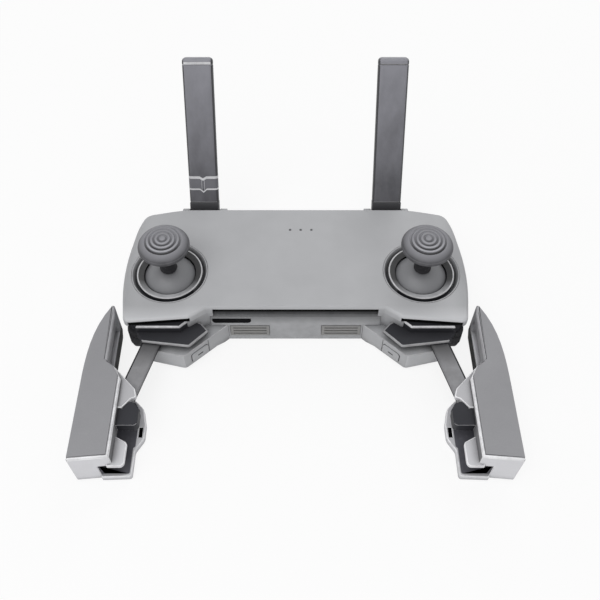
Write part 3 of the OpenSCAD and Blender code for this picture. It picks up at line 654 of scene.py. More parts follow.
def ball_arc(radius, centre_z, start, end, steps):
    """Part of a circle round (0, centre_z), by the angle from the vertical in degrees."""
    turns = [math.radians(start + (end - start) * k / steps) for k in range(steps + 1)]
    return [Vector((radius * math.sin(a), centre_z + radius * math.cos(a))) for a in turns]


def turned(profile, centre, steps, closed=False):
    """A turned form: the profile of (r, z) in millimetres, swept round a vertical axis."""
    bm = bmesh.new()
    rings = []
    for r, z in profile:
        if r < NOTHING:
            rings.append([bm.verts.new((centre[0] * MM, centre[1] * MM, z * MM))])
            continue
        ring = []
        for k in range(steps):
            a = 2 * math.pi * k / steps
            x, y = centre[0] + r * math.cos(a), centre[1] + r * math.sin(a)
            ring.append(bm.verts.new((x * MM, y * MM, z * MM)))
        rings.append(ring)
    pairs = list(zip(rings, rings[1:]))
    if closed:
        pairs.append((rings[-1], rings[0]))
    for a, b in pairs:
        for k in range(steps):
            j = (k + 1) % steps
            corners = [a[k % len(a)], a[j % len(a)], b[j % len(b)], b[k % len(b)]]
            unique = list(dict.fromkeys(corners))
            if len(unique) > 2:
                bm.faces.new(unique)
    bmesh.ops.recalc_face_normals(bm, faces=bm.faces)
    return bm


def band(bm, a, b, index=0):
    """A band of faces between two rings of as many points, in the finish of that number."""
    for k in range(len(a)):
        j = (k + 1) % len(a)
        bm.faces.new((a[k], a[j], b[j], b[k])).material_index = index


def rounded_section(width, depth, radius, steps=8):
    """A rounded rectangle round the origin, as (x, y) in millimetres."""
    loop = []
    reach_x, reach_y = width / 2 - radius, depth / 2 - radius
    for across, back, start in ((1, 1, 0), (-1, 1, 90), (-1, -1, 180), (1, -1, 270)):
        for k in range(steps + 1):
            a = math.radians(start + 90 * k / steps)
            loop.append((across * reach_x + radius * math.cos(a), back * reach_y + radius * math.sin(a)))
    return loop


def lofted(sections, place):
    """A closed form through (loop, z) sections in millimetres, set in place by a matrix."""
    bm = bmesh.new()
    rings = []
    for loop, z in sections:
        rings.append([bm.verts.new(place @ Vector((x * MM, y * MM, z * MM))) for x, y in loop])
    for a, b in zip(rings, rings[1:]):
        band(bm, a, b)
    bm.faces.new(list(reversed(rings[0])))
    bm.faces.new(rings[-1])
    bmesh.ops.recalc_face_normals(bm, faces=bm.faces)
    return bm


def add_pill(name, spot, across, size, depth, body, material, slot):
    """Adds a small rounded plate that looks along -Y, turned about Z by across, in millimetres."""
    chamfer, chamfer_height, least_radius = 0.15, 0.12, 0.05
    turn = Matrix.Rotation(across, 4, "Z") @ Matrix.Rotation(math.pi / 2, 4, "X")
    place = Matrix.Translation(Vector(spot) * MM) @ turn
    width, height = size
    radius = 0.48 * min(size)
    inner_radius = max(radius - chamfer, least_radius)
    outer = rounded_section(width, height, radius)
    inner = rounded_section(width - 2 * chamfer, height - 2 * chamfer, inner_radius)
    bm = lofted([(outer, 0), (outer, depth - chamfer_height), (inner, depth)], place)
    shade(add_piece(name, bm, [material], body, slot), 40)


# Pieces


class TRANSMITTER_OT_upper_shell(bpy.types.Operator):
    """Dress the face moulding and its indicator lenses"""

    bl_idname = "transmitter.upper_shell"
    bl_label = "Upper shell"

    # Room round the lenses where edges stay sharp, and the height of the lip under the face
    lens_room = 2.0
    lens_depth = 3.0
    lip = 1.0

    def execute(self, context):
        sizes = context.scene.transmitter_sizes
        low, high = extent("led_guide")
        lens_y = (low.y + high.y) / 2
        lens_reach = (high.x - low.x) / 2 + self.lens_room
        lip_z = extent("top_shell")[1].z - self.lip

        def stays_sharp(p):
            at_lens = abs(p.x) < lens_reach and abs(p.y - lens_y) < self.lens_depth
            return at_lens or p.z < lip_z

        # The face's roundings take the soft edge finish, a painted highlight
        finishes = ["face", "soft_edge"]
        dress("top_shell", finishes, "shell", sizes.shell_edge, steps=3, angle=40, keep=stays_sharp)
        # The trim strip's finish is a painted shadow under the lip
        paint("trim_strip", "trim")
        paint("led_guide", "lens")
        return {"FINISHED"}


class TRANSMITTER_OT_lower_shell(bpy.types.Operator):
    """Dress the tub, its front wall with the narrow slot, and the storage pads on it"""

    bl_idname = "transmitter.lower_shell"
    bl_label = "Lower shell"

    # Zones that take another finish, from the tub's rim and side, the link's pin and the link's underside
    rim_lip = 0.3
    seat_drop = 3.0
    corner_width = 11.0
    corner_back = 5.4
    foot_back = 0.4
    foot_step = 0.2

    # A dark plate in the front wall's narrow slot, which paints the shade inside it
    slot_x = -26.8
    slot_z = 14.4
    slot_size = (16.2, 3.0)
    slot_depth = 0.45
    slot_proud = 0.03

    def execute(self, context):
        sizes = context.scene.transmitter_sizes
        tub = extent("bottom_shell")[1]
        pin = middle_of("left_arm_pin")
        rim = tub.z - self.rim_lip
        corner = tub.x - self.corner_width
        foot_top = extent("left_link_arm")[0].z + self.foot_step

        def tone(p, normal, rounding):
            # Painted shade: the tub's corners beside the links take black where they face front or up
            in_corner = abs(p.x) > corner and p.y < pin.y + self.corner_back
            on_seat = normal.z > FACING and p.z < rim - self.seat_drop
            if in_corner and (on_seat or normal.y < -LEANING):
                return "rubber"
            # Roundings take the soft edge finish, a painted highlight
            if rounding:
                return "soft_edge"
            # Painted light: the feet's front faces take the paler foot finish
            on_foot = p.y < pin.y + self.foot_back and p.z < foot_top
            faces_front = normal.z < FACING and abs(normal.x) < LEANING
            return "foot" if on_foot and faces_front else "shell"

        def on_rim(p):
            return p.z > rim

        finishes = ["shell", "soft_edge", "rubber", "foot"]
        edge = sizes.shell_edge
        dress("bottom_shell", finishes, "shell", edge, steps=3, angle=44, keep=on_rim, tone=tone)
        # The front wall's finish darkens towards the top, a painted shade under the lip
        dress("front_panel", ["wall"], "shell", sizes.small_edge)
        for side, _ in SIDES:
            dress(f"{side}_store_pad", ["pad"], "rubber", sizes.small_edge)
        base = extent("front_panel")[0].y + self.slot_depth - self.slot_proud
        spot = (self.slot_x, base, self.slot_z)
        add_pill("card_door", spot, 0.0, self.slot_size, self.slot_depth, "body", "gap", "dark")
        return {"FINISHED"}


class TRANSMITTER_OT_bowls(bpy.types.Operator):
    """Turn the bezel rings and finish the gimbal housings in the bowls"""

    bl_idname = "transmitter.bowls"
    bl_label = "Stick bowls"

    # Insets from the ring's outside, and zones round its crest
    gate_inset = 5.15
    crest_inset = 2.5
    crest_depth = 0.75
    crest_width = 0.4
    collar_start = 0.5
    groove_depth = 2.9
    groove_width = 1.0
    floor_zone = 0.25

    def execute(self, context):
        # Painted shade and highlight: the collar darkens towards the back, the crest is paler, and the
        # groove takes the dark finish
        finishes = ["ring", "crest", "dark", "shell"]
        for side, sign in SIDES:
            low, high = extent(f"{side}_bezel_ring")
            mid = (low + high) / 2
            outer = (high.x - low.x) / 2
            crest = outer - self.crest_inset
            floor = high.z - self.groove_depth
            outline = self.outline(outer, crest, low.z, floor, high.z)
            bm = turned(outline, mid, steps=144, closed=True)
            for face in bm.faces:
                spot = face.calc_center_median() / MM - Vector((mid.x, mid.y, 0))
                face.material_index = finishes.index(self.tone(spot, sign, crest, floor, high.z))
            shade(add_piece(f"{side}_bezel", bm, finishes, "body", "ring", f"{side}_bezel_ring"), 40)
            paint(f"{side}_gimbal_housing", "dark")
        return {"FINISHED"}

    def outline(self, outer, crest, base, floor, top):
        """Half of a bezel's section: outer slope, groove, crest and the collar that slopes inwards."""
        gate = outer - self.gate_inset
        foot = (gate + 2.8, base, 0)
        points = [
            foot,
            (outer, base, 0),
            (outer, top - 0.25, 0.1),
            (outer - 0.2, top + 0.02, 0.12),
            (outer - 0.5, top + 0.02, 0.3),
            (crest + 0.7, floor, 0.2),
            (crest + 0.3, floor, 0.1),
            (crest + 0.2, top - 0.3, 0.16),
            (crest - 0.35, top - 0.3, 0.2),
            (gate + 0.5, top - 1.1, 0.3),
            (gate, top - 1.3, 0.14),
            (gate, top - 1.9, 0.1),
            foot,
        ]
        return eased(points)[:-1]

    def tone(self, spot, sign, crest, floor, top):
        """The finish at a spot of the bezel: collar, crest with a painted highlight, groove with painted
        shade, or outer slope.
        """
        r = spot.xy.length
        if r < crest - self.collar_start:
            return "ring"
        if spot.z > top - self.crest_depth and r < crest + self.crest_width:
            return "crest"
        in_groove = r < crest + self.groove_width and spot.z < top
        # Painted shade on the groove's front and outer side, and on its floor all round
        shaded = -spot.y + 0.5 * sign * spot.x > 0.25 * r
        return "dark" if in_groove and (shaded or spot.z < floor + self.floor_zone) else "shell"


class TRANSMITTER_OT_sticks(bpy.types.Operator):
    """Turn the stick caps and domes, and finish the metal under them"""

    bl_idname = "transmitter.sticks"
    bl_label = "Sticks"

    # Radii of the stem, the dome's thickness, and the crown as shares of the cap's radius
    bore = 2.2
    stem = 3.6
    stem_reach = 4.2
    waist = 2.9
    dome_skin = 1.2
    crown_rise = 5.5
    crown_power = 2.25
    crown_lift = 0.1
    shoulder_share = 0.965
    groove_shares = (0.16, 0.34, 0.51, 0.68)
    groove_half = 0.72
    groove_depth = 0.45
    ridge_share = 0.7

    # How deep a groove still counts as ridge, and from where it counts as valley
    ridge_dip = 0.12
    valley_dip = 0.6

    def execute(self, context):
        for side, _ in SIDES:
            self.cap(side)
            self.dome(side)
            paint(f"{side}_stick_shaft", "steel")
            paint(f"{side}_gimbal_yoke", "steel")
        return {"FINISHED"}

    def cap(self, side):
        """The mushroom cap: waisted stem, rolled rim, and rounded ridges on a domed crown."""
        low, high = extent(f"{side}_stick_cap")
        mid = (low + high) / 2
        r = (high.x - low.x) / 2
        neck, top = low.z, high.z + self.crown_lift
        shoulder = r * self.shoulder_share
        brim = self.crown(shoulder, r, top)
        stem = [(self.stem, neck + 0.3), (3.1, neck + 1.3), (self.waist, brim - 8.2), (3.4, brim - 5.8)]
        rim = [(5, brim - 3.9), (r * 0.76, brim - 2.8), (r * 0.92, brim - 2.2), (r * 0.985, brim - 1.6)]
        rim += [(r, brim - 0.9), (r * 0.99, brim - 0.4), (shoulder, brim)]
        line = [Vector((self.bore, neck)), Vector((self.stem, neck))] + flowing(stem + rim, steps=7)
        steps = 170
        for k in range(1, steps + 1):
            radius = shoulder * (1 - k / steps)
            dip = self.groove_depth * self.valley(radius, r)
            line.append(Vector((radius, self.crown(radius, r, top) - dip)))
        bm = turned(line, mid, steps=160)
        bmesh.ops.contextual_create(bm, geom=[e for e in bm.edges if e.is_boundary])
        bmesh.ops.recalc_face_normals(bm, faces=bm.faces)
        finishes = ["cap", "ridge", "cap_valley", "rubber"]
        for face in bm.faces:
            spot = face.calc_center_median() / MM - Vector((mid.x, mid.y, 0))
            face.material_index = finishes.index(self.tone(spot, r, brim))
        shade(add_piece(f"{side}_cap", bm, finishes, f"{side}_stick", "cap", f"{side}_stick_cap"), 50)

    def crown(self, radius, r, top):
        """Height of the cap's smooth crown: nearly flat in the middle, with a rounded shoulder."""
        power = self.crown_power
        return top - self.crown_rise * (1 - (1 - (radius / r) ** power) ** (1 / power))

    def valley(self, radius, r):
        """Depth of the grooves between the grip ridges, from 0 to 1."""
        depth = 0.0
        for share in self.groove_shares:
            off = abs(radius - share * r) / self.groove_half
            if off < 1:
                depth += 0.5 + 0.5 * math.cos(math.pi * off)
        return depth

    def tone(self, spot, r, brim):
        """The finish at a spot of the cap: ridges with painted highlights and grooves with painted shade on
        the crown, and a black stem.
        """
        off = spot.xy.length
        if spot.z <= brim:
            return "rubber" if off < self.stem_reach else "cap"
        dip = self.valley(off, r)
        if dip < self.ridge_dip and off < self.ridge_share * r:
            return "ridge"
        return "cap_valley" if dip > self.valley_dip else "cap"

    def dome(self, side):
        """The ball-shaped dust cover, centred on the gimbal."""
        low, high = extent(f"{side}_stick_dome")
        pivot = joint(f"{side}_stick_sideways")["pos_m"][2] / MM
        ball = math.hypot(high.z - pivot, self.bore)
        inner = ball - self.dome_skin
        edge = math.degrees(math.asin(min(1.0, (high.x - low.x) / 2 / ball)))
        start, inner_start = (math.degrees(math.asin(self.bore / radius)) for radius in (ball, inner))
        profile = ball_arc(ball, pivot, start, edge, steps=40)
        profile += ball_arc(inner, pivot, edge, inner_start, steps=24)
        bm = turned(profile, (low + high) / 2, steps=144, closed=True)
        shade(add_piece(f"{side}_dome", bm, ["dome"], f"{side}_stick", "dome", f"{side}_stick_dome"), 50)


class TRANSMITTER_OT_antennas(bpy.types.Operator):
    """Loft the antenna blades and tips, with the seams and stress lines across them"""

    bl_idname = "transmitter.antennas"
    bl_label = "Antennas"

    # The blade's lean and section, and heights along it from the hinge
    lean = math.radians(-30.0)
    depth = 5.0
    corner = 1.7
    knuckle_top = 6.8
    tip_base = 66.8
    tip_top = 69.6
    tip_round = 1.6
    tip_inset = 1.5
    tip_line = {"left": 1.25, "right": 0.5}

    # The worn sleeve's ends, how far it stands proud, and the nick and split in its front
    sleeve = (12.6, 17.9)
    sleeve_proud = 0.03
    line_proud = 0.09
    nick_reach = 1.5
    split = (-0.65, 0.55)
    split_width = 0.32

    # Share of X in a narrow side's normal, and slack in heights
    side_share = 0.62
    slack = 0.01

    def execute(self, context):
        sizes = context.scene.transmitter_sizes
        seam = sizes.seam / MM
        for side, _ in SIDES:
            body = f"{side}_antenna"
            pin = middle_of(f"{side}_antenna_pin") * MM
            place = Matrix.Translation(pin) @ Matrix.Rotation(self.lean, 4, "X")
            low, high = extent(f"{side}_antenna_blade")
            width = high.x - low.x
            self.blade(side, body, place, width, seam)
            self.tip(side, body, place, width, seam)
            # The knuckle takes the flank finish, a painted shade at the hinge
            dress(f"{side}_antenna_knuckle", ["flank"], "antenna", sizes.small_edge * 2, steps=3)
            paint(f"{side}_antenna_pin", "steel")
            if side == "left":
                self.worn_sleeve(body, place, width, sizes.crease / MM)
        return {"FINISHED"}

    def section(self, width, inset=0.0):
        """A blade's rounded outline, smaller all round by inset."""
        return rounded_section(width - 2 * inset, self.depth - 2 * inset, self.corner - inset)

    def mark(self, bm, place, low, high):
        """Narrow sides take the second finish, and broad faces between two heights take the third."""
        bm.normal_update()
        back = place.inverted()
        for face in bm.faces:
            heights = [(back @ v.co).z / MM for v in face.verts]
            # Narrow sides take painted shade
            if abs(face.normal.x) > self.side_share:
                face.material_index = 1
            elif len(heights) == 4 and min(heights) > low - self.slack and max(heights) < high:
                face.material_index = 2

    def blade(self, side, body, place, width, seam):
        """The long blade, drawn in at both ends where it meets the knuckle and the tip."""
        base, top = self.knuckle_top, self.tip_base
        full, half, slim = (self.section(width, share * seam) for share in (0.0, 0.25, 1.0))
        sections = [(slim, base), (half, base + 0.35 * seam), (full, base + 1.2 * seam)]
        sections += [(full, base + (top - base) * k / 6) for k in range(1, 6)]
        sections += [(full, top - 1.2 * seam), (half, top - 0.35 * seam), (slim, top)]
        bm = lofted(sections, place)
        self.mark(bm, place, base, base + 1.3 * seam)
        finishes = ["antenna", "flank", "dark_edge"]
        shade(add_piece(f"{side}_blade", bm, finishes, body, "antenna", f"{side}_antenna_blade"), 40)

    def tip(self, side, body, place, width, seam):
        """The end cap: a line along its foot and a rounded top."""
        base = self.tip_base
        line = self.tip_line[side]
        shoulder = self.tip_top - self.tip_round
        full = self.section(width)
        sections = [(self.section(width, seam), base), (full, base + 0.7 * seam)]
        sections += [(full, base + line), (full, shoulder)]
        steps = 7
        for k in range(1, steps + 1):
            a = math.radians(90 * k / steps)
            inset = self.tip_inset * (1 - math.cos(a))
            loop = rounded_section(width - 2 * inset, self.depth - 1.6 * inset, self.corner - 0.75 * inset)
            sections.append((loop, shoulder + self.tip_round * math.sin(a)))
        bm = lofted(sections, place)
        self.mark(bm, place, base, base + line + self.slack)
        # The left tip's line takes the brighter edge finish, a painted highlight
        finishes = ["antenna", "flank", "edge" if side == "left" else "dark_edge"]
        shade(add_piece(f"{side}_tip", bm, finishes, body, "antenna", f"{side}_antenna_tip"), 40)

    def worn_sleeve(self, body, place, width, line):
        """A rubbed band round the blade: two whitened lines with a nick in front, joined by a split."""
        low, high = self.sleeve
        bm = bmesh.new()
        self.ring(bm, place, width, self.sleeve_proud, (low + 0.5 * line, high), 0.0, 1)
        self.ring(bm, place, width, self.line_proud, (high - 0.2 * line, high + 1.1 * line), 0.9, 0)
        self.ring(bm, place, width, self.line_proud, (low, low + 0.8 * line), 1.3, 0)
        for x in self.split:
            self.bar(bm, place, x, (low + 0.2, high - 0.2))
        bmesh.ops.recalc_face_normals(bm, faces=bm.faces)
        shade(add_piece("left_worn_sleeve", bm, ["edge", "sleeve"], body, "antenna"), 40)

    def ring(self, bm, place, width, proud, ends, nick, index):
        """A thin band round the blade that dips by nick in its front, in the finish of that number."""
        low, high = ends
        outer, inner = self.section(width, -proud), self.section(width, proud)
        thin = 0.1 * (high - low)
        rings = []
        for loop, z in ((inner, low), (outer, low + thin), (outer, high - thin), (inner, high)):
            rings.append([])
            for x, y in self.with_front_points(loop):
                dip = nick * max(0.0, 1 - abs(x) / self.nick_reach) if y < 0 else 0.0
                rings[-1].append(bm.verts.new(place @ (Vector((x, y, z - dip)) * MM)))
        for a, b in zip(rings, rings[1:] + rings[:1]):
            band(bm, a, b, index)

    def with_front_points(self, loop):
        """The loop with points added along its front side, so that a band can dip there."""
        full = []
        for (x, y), (next_x, next_y) in zip(loop, loop[1:] + loop[:1]):
            full.append((x, y))
            if y < 0 and abs(next_y - y) < NOTHING and next_x - x > 1:
                full += [(self.nick_reach * k / 4, y) for k in range(-4, 5)]
        return full

    def bar(self, bm, place, x, ends):
        """A thin upright ridge on the front of the blade."""
        front, half = -self.depth / 2, self.split_width / 2
        loop = [(x - half, front + 0.05), (x, front - 0.1), (x + half, front + 0.05)]
        low, high = ([bm.verts.new(place @ (Vector((px, py, z)) * MM)) for px, py in loop] for z in ends)
        band(bm, low, high)
        bm.faces.new(low)
        bm.faces.new(list(reversed(high)))


class TRANSMITTER_OT_links(bpy.types.Operator):
    """Dress the hinge covers, the link arms and their pins"""

    bl_idname = "transmitter.links"
    bl_label = "Hinges and links"

    # The cover's plate, how far its painted edge highlights stop short of its outer end, and their height
    plate = 2.0
    plate_end = 5.6
    ledge_end = 3.0
    edge_zone = 0.7

    # Shares of the clamp edge, and of a normal where a link is level, turned inwards or tilted up
    cover_edge = 1.9
    link_edge = 2.4
    level = 0.99
    turned_in = 0.05
    tilted_up = 0.2

    def execute(self, context):
        sizes = context.scene.transmitter_sizes
        for side, sign in SIDES:
            low, high = extent(f"{side}_hinge_cover")
            outer = max(abs(low.x), abs(high.x))
            plate_top = low.z + self.plate

            def edge_highlights(p, normal, rounding):
                # Painted highlights on the roundings of the ledge and the plate
                across = sign * p.x
                if rounding and p.z > high.z - self.edge_zone and across < outer - self.ledge_end:
                    return "edge"
                on_plate = abs(p.z - plate_top) < self.edge_zone and across < outer - self.plate_end
                return "plate_edge" if rounding and on_plate else "hinge"

            def shaded(p, normal, rounding):
                # Painted shade: faces that are neither level nor turned towards the middle and up take
                # black
                flat = abs(normal.z) > self.level
                lit = -sign * normal.x > self.turned_in and normal.z > self.tilted_up
                return "link" if flat or lit else "rubber"

            finishes = ["hinge", "edge", "plate_edge"]
            cover_edge = sizes.clamp_edge * self.cover_edge
            link_edge = sizes.clamp_edge * self.link_edge
            dress(f"{side}_hinge_cover", finishes, "dark", cover_edge, tone=edge_highlights)
            dress(f"{side}_link_arm", ["link", "rubber"], "link", link_edge, steps=3, tone=shaded)
            paint(f"{side}_arm_pin", "steel")
        return {"FINISHED"}


class TRANSMITTER_OT_clamps(bpy.types.Operator):
    """Dress the phone clamps: shells, top panels, knuckles, pads and pins"""

    bl_idname = "transmitter.clamps"
    bl_label = "Phone clamps"

    # Places outwards and backwards from a clamp's pivot, heights above the sole, and the rim's depth
    tip_start = 17.0
    spine_inside = 9.4
    rim_end = 12.0
    slot_across = -6.6
    slot_back = -6.4
    slot_half = (1.0, 2.3)
    slot_top = 3.0
    sole_edge = 2.0
    shelf_top = 14.0
    rim_zone = 0.5

    # Shares of a normal where a wall looks inwards and where an edge looks to the front
    faces_in = 0.6
    faces_front = 0.4

    def execute(self, context):
        sizes = context.scene.transmitter_sizes
        finishes = ["clamp", "rim", "clamp_wall", "gap", "clamp_end", "rail_wall", "flange"]
        for side, sign in SIDES:
            pivot = middle_of(f"{side}_clamp_pin")
            rim = extent(f"{side}_clamp_shell")[1].z - self.rim_zone

            def lit_and_shaded(p, normal, rounding):
                spot = Vector((sign * (p.x - pivot.x), p.y - pivot.y, p.z))
                inward = -sign * normal.x > self.faces_in
                if spot.y > self.tip_start:
                    return self.tip_tone(spot, normal)
                return self.shell_tone(spot, normal, rounding, inward, rim)

            small = sizes.small_edge
            dress(f"{side}_clamp_shell", finishes, "clamp", sizes.clamp_edge, tone=lit_and_shaded)
            dress(f"{side}_clamp_cover", ["panel"], "clamp_cover", small)
            dress(f"{side}_clamp_knuckle", ["knuckle", "edge"], "dark", small, tone=self.knuckle_tone)
            dress(f"{side}_clamp_pad", ["grip"], "rubber", small)
            paint(f"{side}_clamp_pin", "steel")
        return {"FINISHED"}

    def tip_tone(self, spot, normal):
        """The finish near a clamp's tip: groove floor with painted light, outer skin, and inner wall with
        painted shade.
        """
        if normal.z > FACING and spot.z < self.shelf_top:
            return "clamp_end"
        outside = spot.x > self.spine_inside or normal.z < -FACING
        return "clamp" if outside else "clamp_wall"

    def shell_tone(self, spot, normal, rounding, inward, rim):
        """The finish along a clamp: painted highlight on the rim, painted shade in the slot and on the rail
        walls, painted light on the flange and the pale ends, or outer skin.
        """
        half_across, half_back = self.slot_half
        by_slot = abs(spot.x - self.slot_across) < half_across and abs(spot.y - self.slot_back) < half_back
        # Painted shade: the slot takes the near-black gap finish
        if by_slot and spot.z < self.slot_top:
            return "gap"
        faces_up = normal.z > FACING
        if faces_up and spot.z > rim:
            return "rim"
        if rounding:
            return "rim" if spot.z > self.sole_edge and spot.x < self.rim_end else "clamp"
        if inward and spot.x > 0:
            return "rail_wall"
        if faces_up and spot.z < self.shelf_top:
            return "flange"
        return "clamp_end" if inward or normal.y < -FACING else "clamp"

    def knuckle_tone(self, p, normal, rounding):
        """Only the knuckle's front edge takes a painted highlight."""
        return "edge" if rounding and normal.y < -self.faces_front else "knuckle"


class TRANSMITTER_OT_controls(bpy.types.Operator):
    """Dress the camera dial, the four keys and the charging socket"""

    bl_idname = "transmitter.controls"
    bl_label = "Dial, keys and socket"

    # The keys' edge as a share of the small edge, and the dash on a foot key
    key_edge = 1.6
    mark_size = (3.0, 1.0)
    mark_depth = 0.24
    mark_sunk = 0.22

    # The seam beside a foot key
    seam_width = 0.42
    seam_depth = 0.34
    seam_gap = 0.55
    seam_sunk = 0.7
    seam_foot = 1.5
    seam_below_link = 0.6

    def execute(self, context):
        sizes = context.scene.transmitter_sizes
        dress("camera_dial", ["dark"], "dark", sizes.small_edge)
        for key in ("record_button", "photo_button", "home_button", "power_button"):
            dress(key, ["shell"], "shell", sizes.small_edge * self.key_edge, steps=3)
        for key, press in (("home_button", "home_press"), ("power_button", "power_press")):
            inward = Vector(joint(press)["axis"]).normalized()
            across = math.atan2(inward.y, inward.x) - math.pi / 2
            corners = [v.co / MM for v in frame["nodes"][key].data.vertices]
            face = min(corner.dot(inward) for corner in corners)
            self.mark(key, inward, across, face)
            self.seam(key, inward, across, face, corners)
        dress("usb_port", ["steel"], "steel", sizes.small_edge * METAL_EDGE)
        paint("dial_axle", "steel")
        return {"FINISHED"}

    def mark(self, key, inward, across, face):
        """A small dark dash inlaid in the face of a foot key."""
        body = frame["nodes"][key]["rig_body"]
        mid = middle_of(key)
        spot = mid + inward * (face - mid.dot(inward) + self.mark_sunk)
        add_pill(f"{key}_mark", spot, across, self.mark_size, self.mark_depth, body, "rubber", "dark")

    def seam(self, key, inward, across, face, corners):
        """The dark seam down the foot's slanted wall, just past the key's inner end."""
        along = Vector((inward.y, -inward.x, 0.0))
        if along.x * middle_of(key).x > 0:
            along = -along
        end = max(corner.dot(along) for corner in corners) + self.seam_gap
        bottom, top = self.seam_foot, extent("left_link_arm")[0].z - self.seam_below_link
        spot = along * end + inward * (face + self.seam_sunk) + Vector((0.0, 0.0, (top + bottom) / 2))
        size = (self.seam_width, top - bottom)
        add_pill(f"{key}_seam", spot, across, size, self.seam_depth, "body", "gap", "dark")


class TRANSMITTER_OT_inside(bpy.types.Operator):
    """Finish the board, the battery and the case screws"""

    bl_idname = "transmitter.inside"
    bl_label = "Board, battery and screws"

    def execute(self, context):
        sizes = context.scene.transmitter_sizes
        paint("main_board", "board")
        paint("battery_pack", "cell")
        for place in ("front_left", "front_right", "back_left", "back_right"):
            dress(f"screw_{place}", ["steel"], "steel", sizes.small_edge * METAL_EDGE)
        return {"FINISHED"}


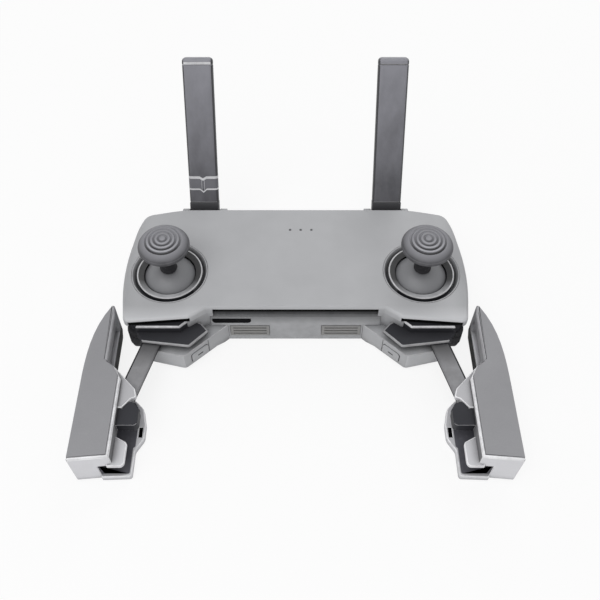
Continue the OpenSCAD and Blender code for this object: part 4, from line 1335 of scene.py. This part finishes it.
class TRANSMITTER_OT_stage(bpy.types.Operator):
    """Set the floor, the light and the camera"""

    bl_idname = "transmitter.stage"
    bl_label = "Stage"

    # The floor's half width in metres, and its share of plain white at a near and a far distance
    floor_reach = 1.6
    near, near_white = 0.12, 0.84
    far, far_white = 1.2, 1.0
    paper = (0.97, 0.97, 0.97, 1.0)
    white = (1.0, 1.0, 1.0, 1.0)

    # Each lamp's place, target and width in metres
    lamps = {
        "key_light": ((-0.25, -0.35, 0.95), (0.0, -0.02, 0.02), 0.9),
        "back_light": ((0.3, 0.75, 0.7), (0.0, 0.0, 0.03), 0.7),
    }

    def execute(self, context):
        look = context.scene.transmitter_stage
        self.floor()
        self.world(look.sky)
        for name, (place, target, width) in self.lamps.items():
            self.lamp(name, place, target, width, getattr(look, name))
        self.camera(look)
        context.scene.view_settings.view_transform = "Standard"
        return {"FINISHED"}

    def floor(self):
        """White paper that keeps the object's shadow and pales into the background."""
        reach = self.floor_reach
        corners = [(x * reach, y * reach, 0) for x, y in ((-1, -1), (1, -1), (1, 1), (-1, 1))]
        mesh = bpy.data.meshes.new("floor")
        mesh.from_pydata(corners, [], [(0, 1, 2, 3)])
        floor = bpy.data.objects.new("floor", mesh)
        bpy.context.scene.collection.objects.link(floor)
        material = bpy.data.materials.new("finish_floor")
        material.use_nodes = True
        mesh.materials.append(material)
        tree = material.node_tree
        tree.nodes.clear()
        out = tree.nodes.new("ShaderNodeOutputMaterial")
        paper = tree.nodes.new("ShaderNodeBsdfDiffuse")
        paper.inputs["Color"].default_value = self.paper
        glow = tree.nodes.new("ShaderNodeEmission")
        glow.inputs["Color"].default_value = self.white
        share = tree.nodes.new("ShaderNodeMath")
        share.operation = "MULTIPLY"
        mix = tree.nodes.new("ShaderNodeMixShader")
        tree.links.new(self.seen(tree), share.inputs[0])
        tree.links.new(self.whiter_far_off(tree), share.inputs[1])
        tree.links.new(share.outputs[0], mix.inputs[0])
        tree.links.new(paper.outputs[0], mix.inputs[1])
        tree.links.new(glow.outputs[0], mix.inputs[2])
        tree.links.new(mix.outputs[0], out.inputs["Surface"])

    def whiter_far_off(self, tree):
        """The share of plain white, which grows with the distance from the object."""
        place = tree.nodes.new("ShaderNodeTexCoord")
        distance = tree.nodes.new("ShaderNodeVectorMath")
        distance.operation = "LENGTH"
        share = tree.nodes.new("ShaderNodeMapRange")
        share.inputs["From Min"].default_value = self.near
        share.inputs["From Max"].default_value = self.far
        share.inputs["To Min"].default_value = self.near_white
        share.inputs["To Max"].default_value = self.far_white
        tree.links.new(place.outputs["Object"], distance.inputs[0])
        tree.links.new(distance.outputs["Value"], share.inputs["Value"])
        return share.outputs["Result"]

    def seen(self, tree):
        """A value that is 1 for what the camera sees, also by way of metal and glass, and 0 for light."""
        path = tree.nodes.new("ShaderNodeLightPath")
        value = path.outputs["Is Camera Ray"]
        for ray in ("Is Glossy Ray", "Is Transmission Ray"):
            either = tree.nodes.new("ShaderNodeMath")
            either.operation = "MAXIMUM"
            tree.links.new(value, either.inputs[0])
            tree.links.new(path.outputs[ray], either.inputs[1])
            value = either.outputs[0]
        return value

    def world(self, strength):
        """Even light all round, in front of a white background."""
        world = bpy.data.worlds.new("studio")
        bpy.context.scene.world = world
        world.use_nodes = True
        tree = world.node_tree
        back = tree.nodes["Background"]
        back.inputs["Color"].default_value = self.white
        level = tree.nodes.new("ShaderNodeMapRange")
        level.inputs["To Min"].default_value = strength
        level.inputs["To Max"].default_value = 1.0
        tree.links.new(self.seen(tree), level.inputs["Value"])
        tree.links.new(level.outputs["Result"], back.inputs["Strength"])

    def lamp(self, name, place, target, width, power):
        """A square soft lamp that looks at a target."""
        light = bpy.data.lights.new(name, "AREA")
        light.shape = "SQUARE"
        light.size = width
        light.energy = power
        lamp = bpy.data.objects.new(name, light)
        lamp.location = place
        lamp.rotation_euler = (Vector(target) - Vector(place)).to_track_quat("-Z", "Y").to_euler()
        bpy.context.scene.collection.objects.link(lamp)

    def camera(self, look):
        """The camera, at the picture's viewing angle."""
        lens = bpy.data.cameras.new("camera")
        lens.lens = look.camera_lens
        lens.sensor_width = 36.0
        lens.shift_x = look.camera_shift
        lens.clip_start = 0.01
        camera = bpy.data.objects.new("camera", lens)
        camera.location = look.camera_place
        camera.rotation_euler = (math.pi / 2 - look.camera_pitch, 0.0, 0.0)
        bpy.context.scene.collection.objects.link(camera)
        bpy.context.scene.camera = camera


# Panel and start


PIECES = (
    TRANSMITTER_OT_upper_shell,
    TRANSMITTER_OT_lower_shell,
    TRANSMITTER_OT_bowls,
    TRANSMITTER_OT_sticks,
    TRANSMITTER_OT_antennas,
    TRANSMITTER_OT_links,
    TRANSMITTER_OT_clamps,
    TRANSMITTER_OT_controls,
    TRANSMITTER_OT_inside,
    TRANSMITTER_OT_stage,
)

SETTINGS = (
    ("transmitter_finishes", TransmitterFinishes),
    ("transmitter_sizes", TransmitterSizes),
    ("transmitter_stage", TransmitterStage),
)


class TRANSMITTER_PT_sidebar(bpy.types.Panel):
    """Lists the pieces of the transmitter and their settings"""

    bl_idname = "TRANSMITTER_PT_sidebar"
    bl_label = "Radio transmitter"
    bl_space_type = "VIEW_3D"
    bl_region_type = "UI"
    bl_category = "Transmitter"

    def draw(self, context):
        for piece in PIECES:
            self.layout.operator(piece.bl_idname)
        for key, group in SETTINGS:
            box = self.layout.box()
            for name in group.__annotations__:
                box.prop(getattr(context.scene, key), name)


def register():
    for key, group in SETTINGS:
        bpy.utils.register_class(group)
        setattr(bpy.types.Scene, key, bpy.props.PointerProperty(type=group))
    for piece in PIECES:
        bpy.utils.register_class(piece)
    bpy.utils.register_class(TRANSMITTER_PT_sidebar)


def unregister():
    bpy.utils.unregister_class(TRANSMITTER_PT_sidebar)
    for piece in reversed(PIECES):
        bpy.utils.unregister_class(piece)
    for key, group in reversed(SETTINGS):
        delattr(bpy.types.Scene, key)
        bpy.utils.unregister_class(group)


def main():
    register()
    bpy.ops.transmitter.upper_shell()
    bpy.ops.transmitter.lower_shell()
    bpy.ops.transmitter.bowls()
    bpy.ops.transmitter.sticks()
    bpy.ops.transmitter.antennas()
    bpy.ops.transmitter.links()
    bpy.ops.transmitter.clamps()
    bpy.ops.transmitter.controls()
    bpy.ops.transmitter.inside()
    bpy.ops.transmitter.stage()


if __name__ == "__main__":
    main()
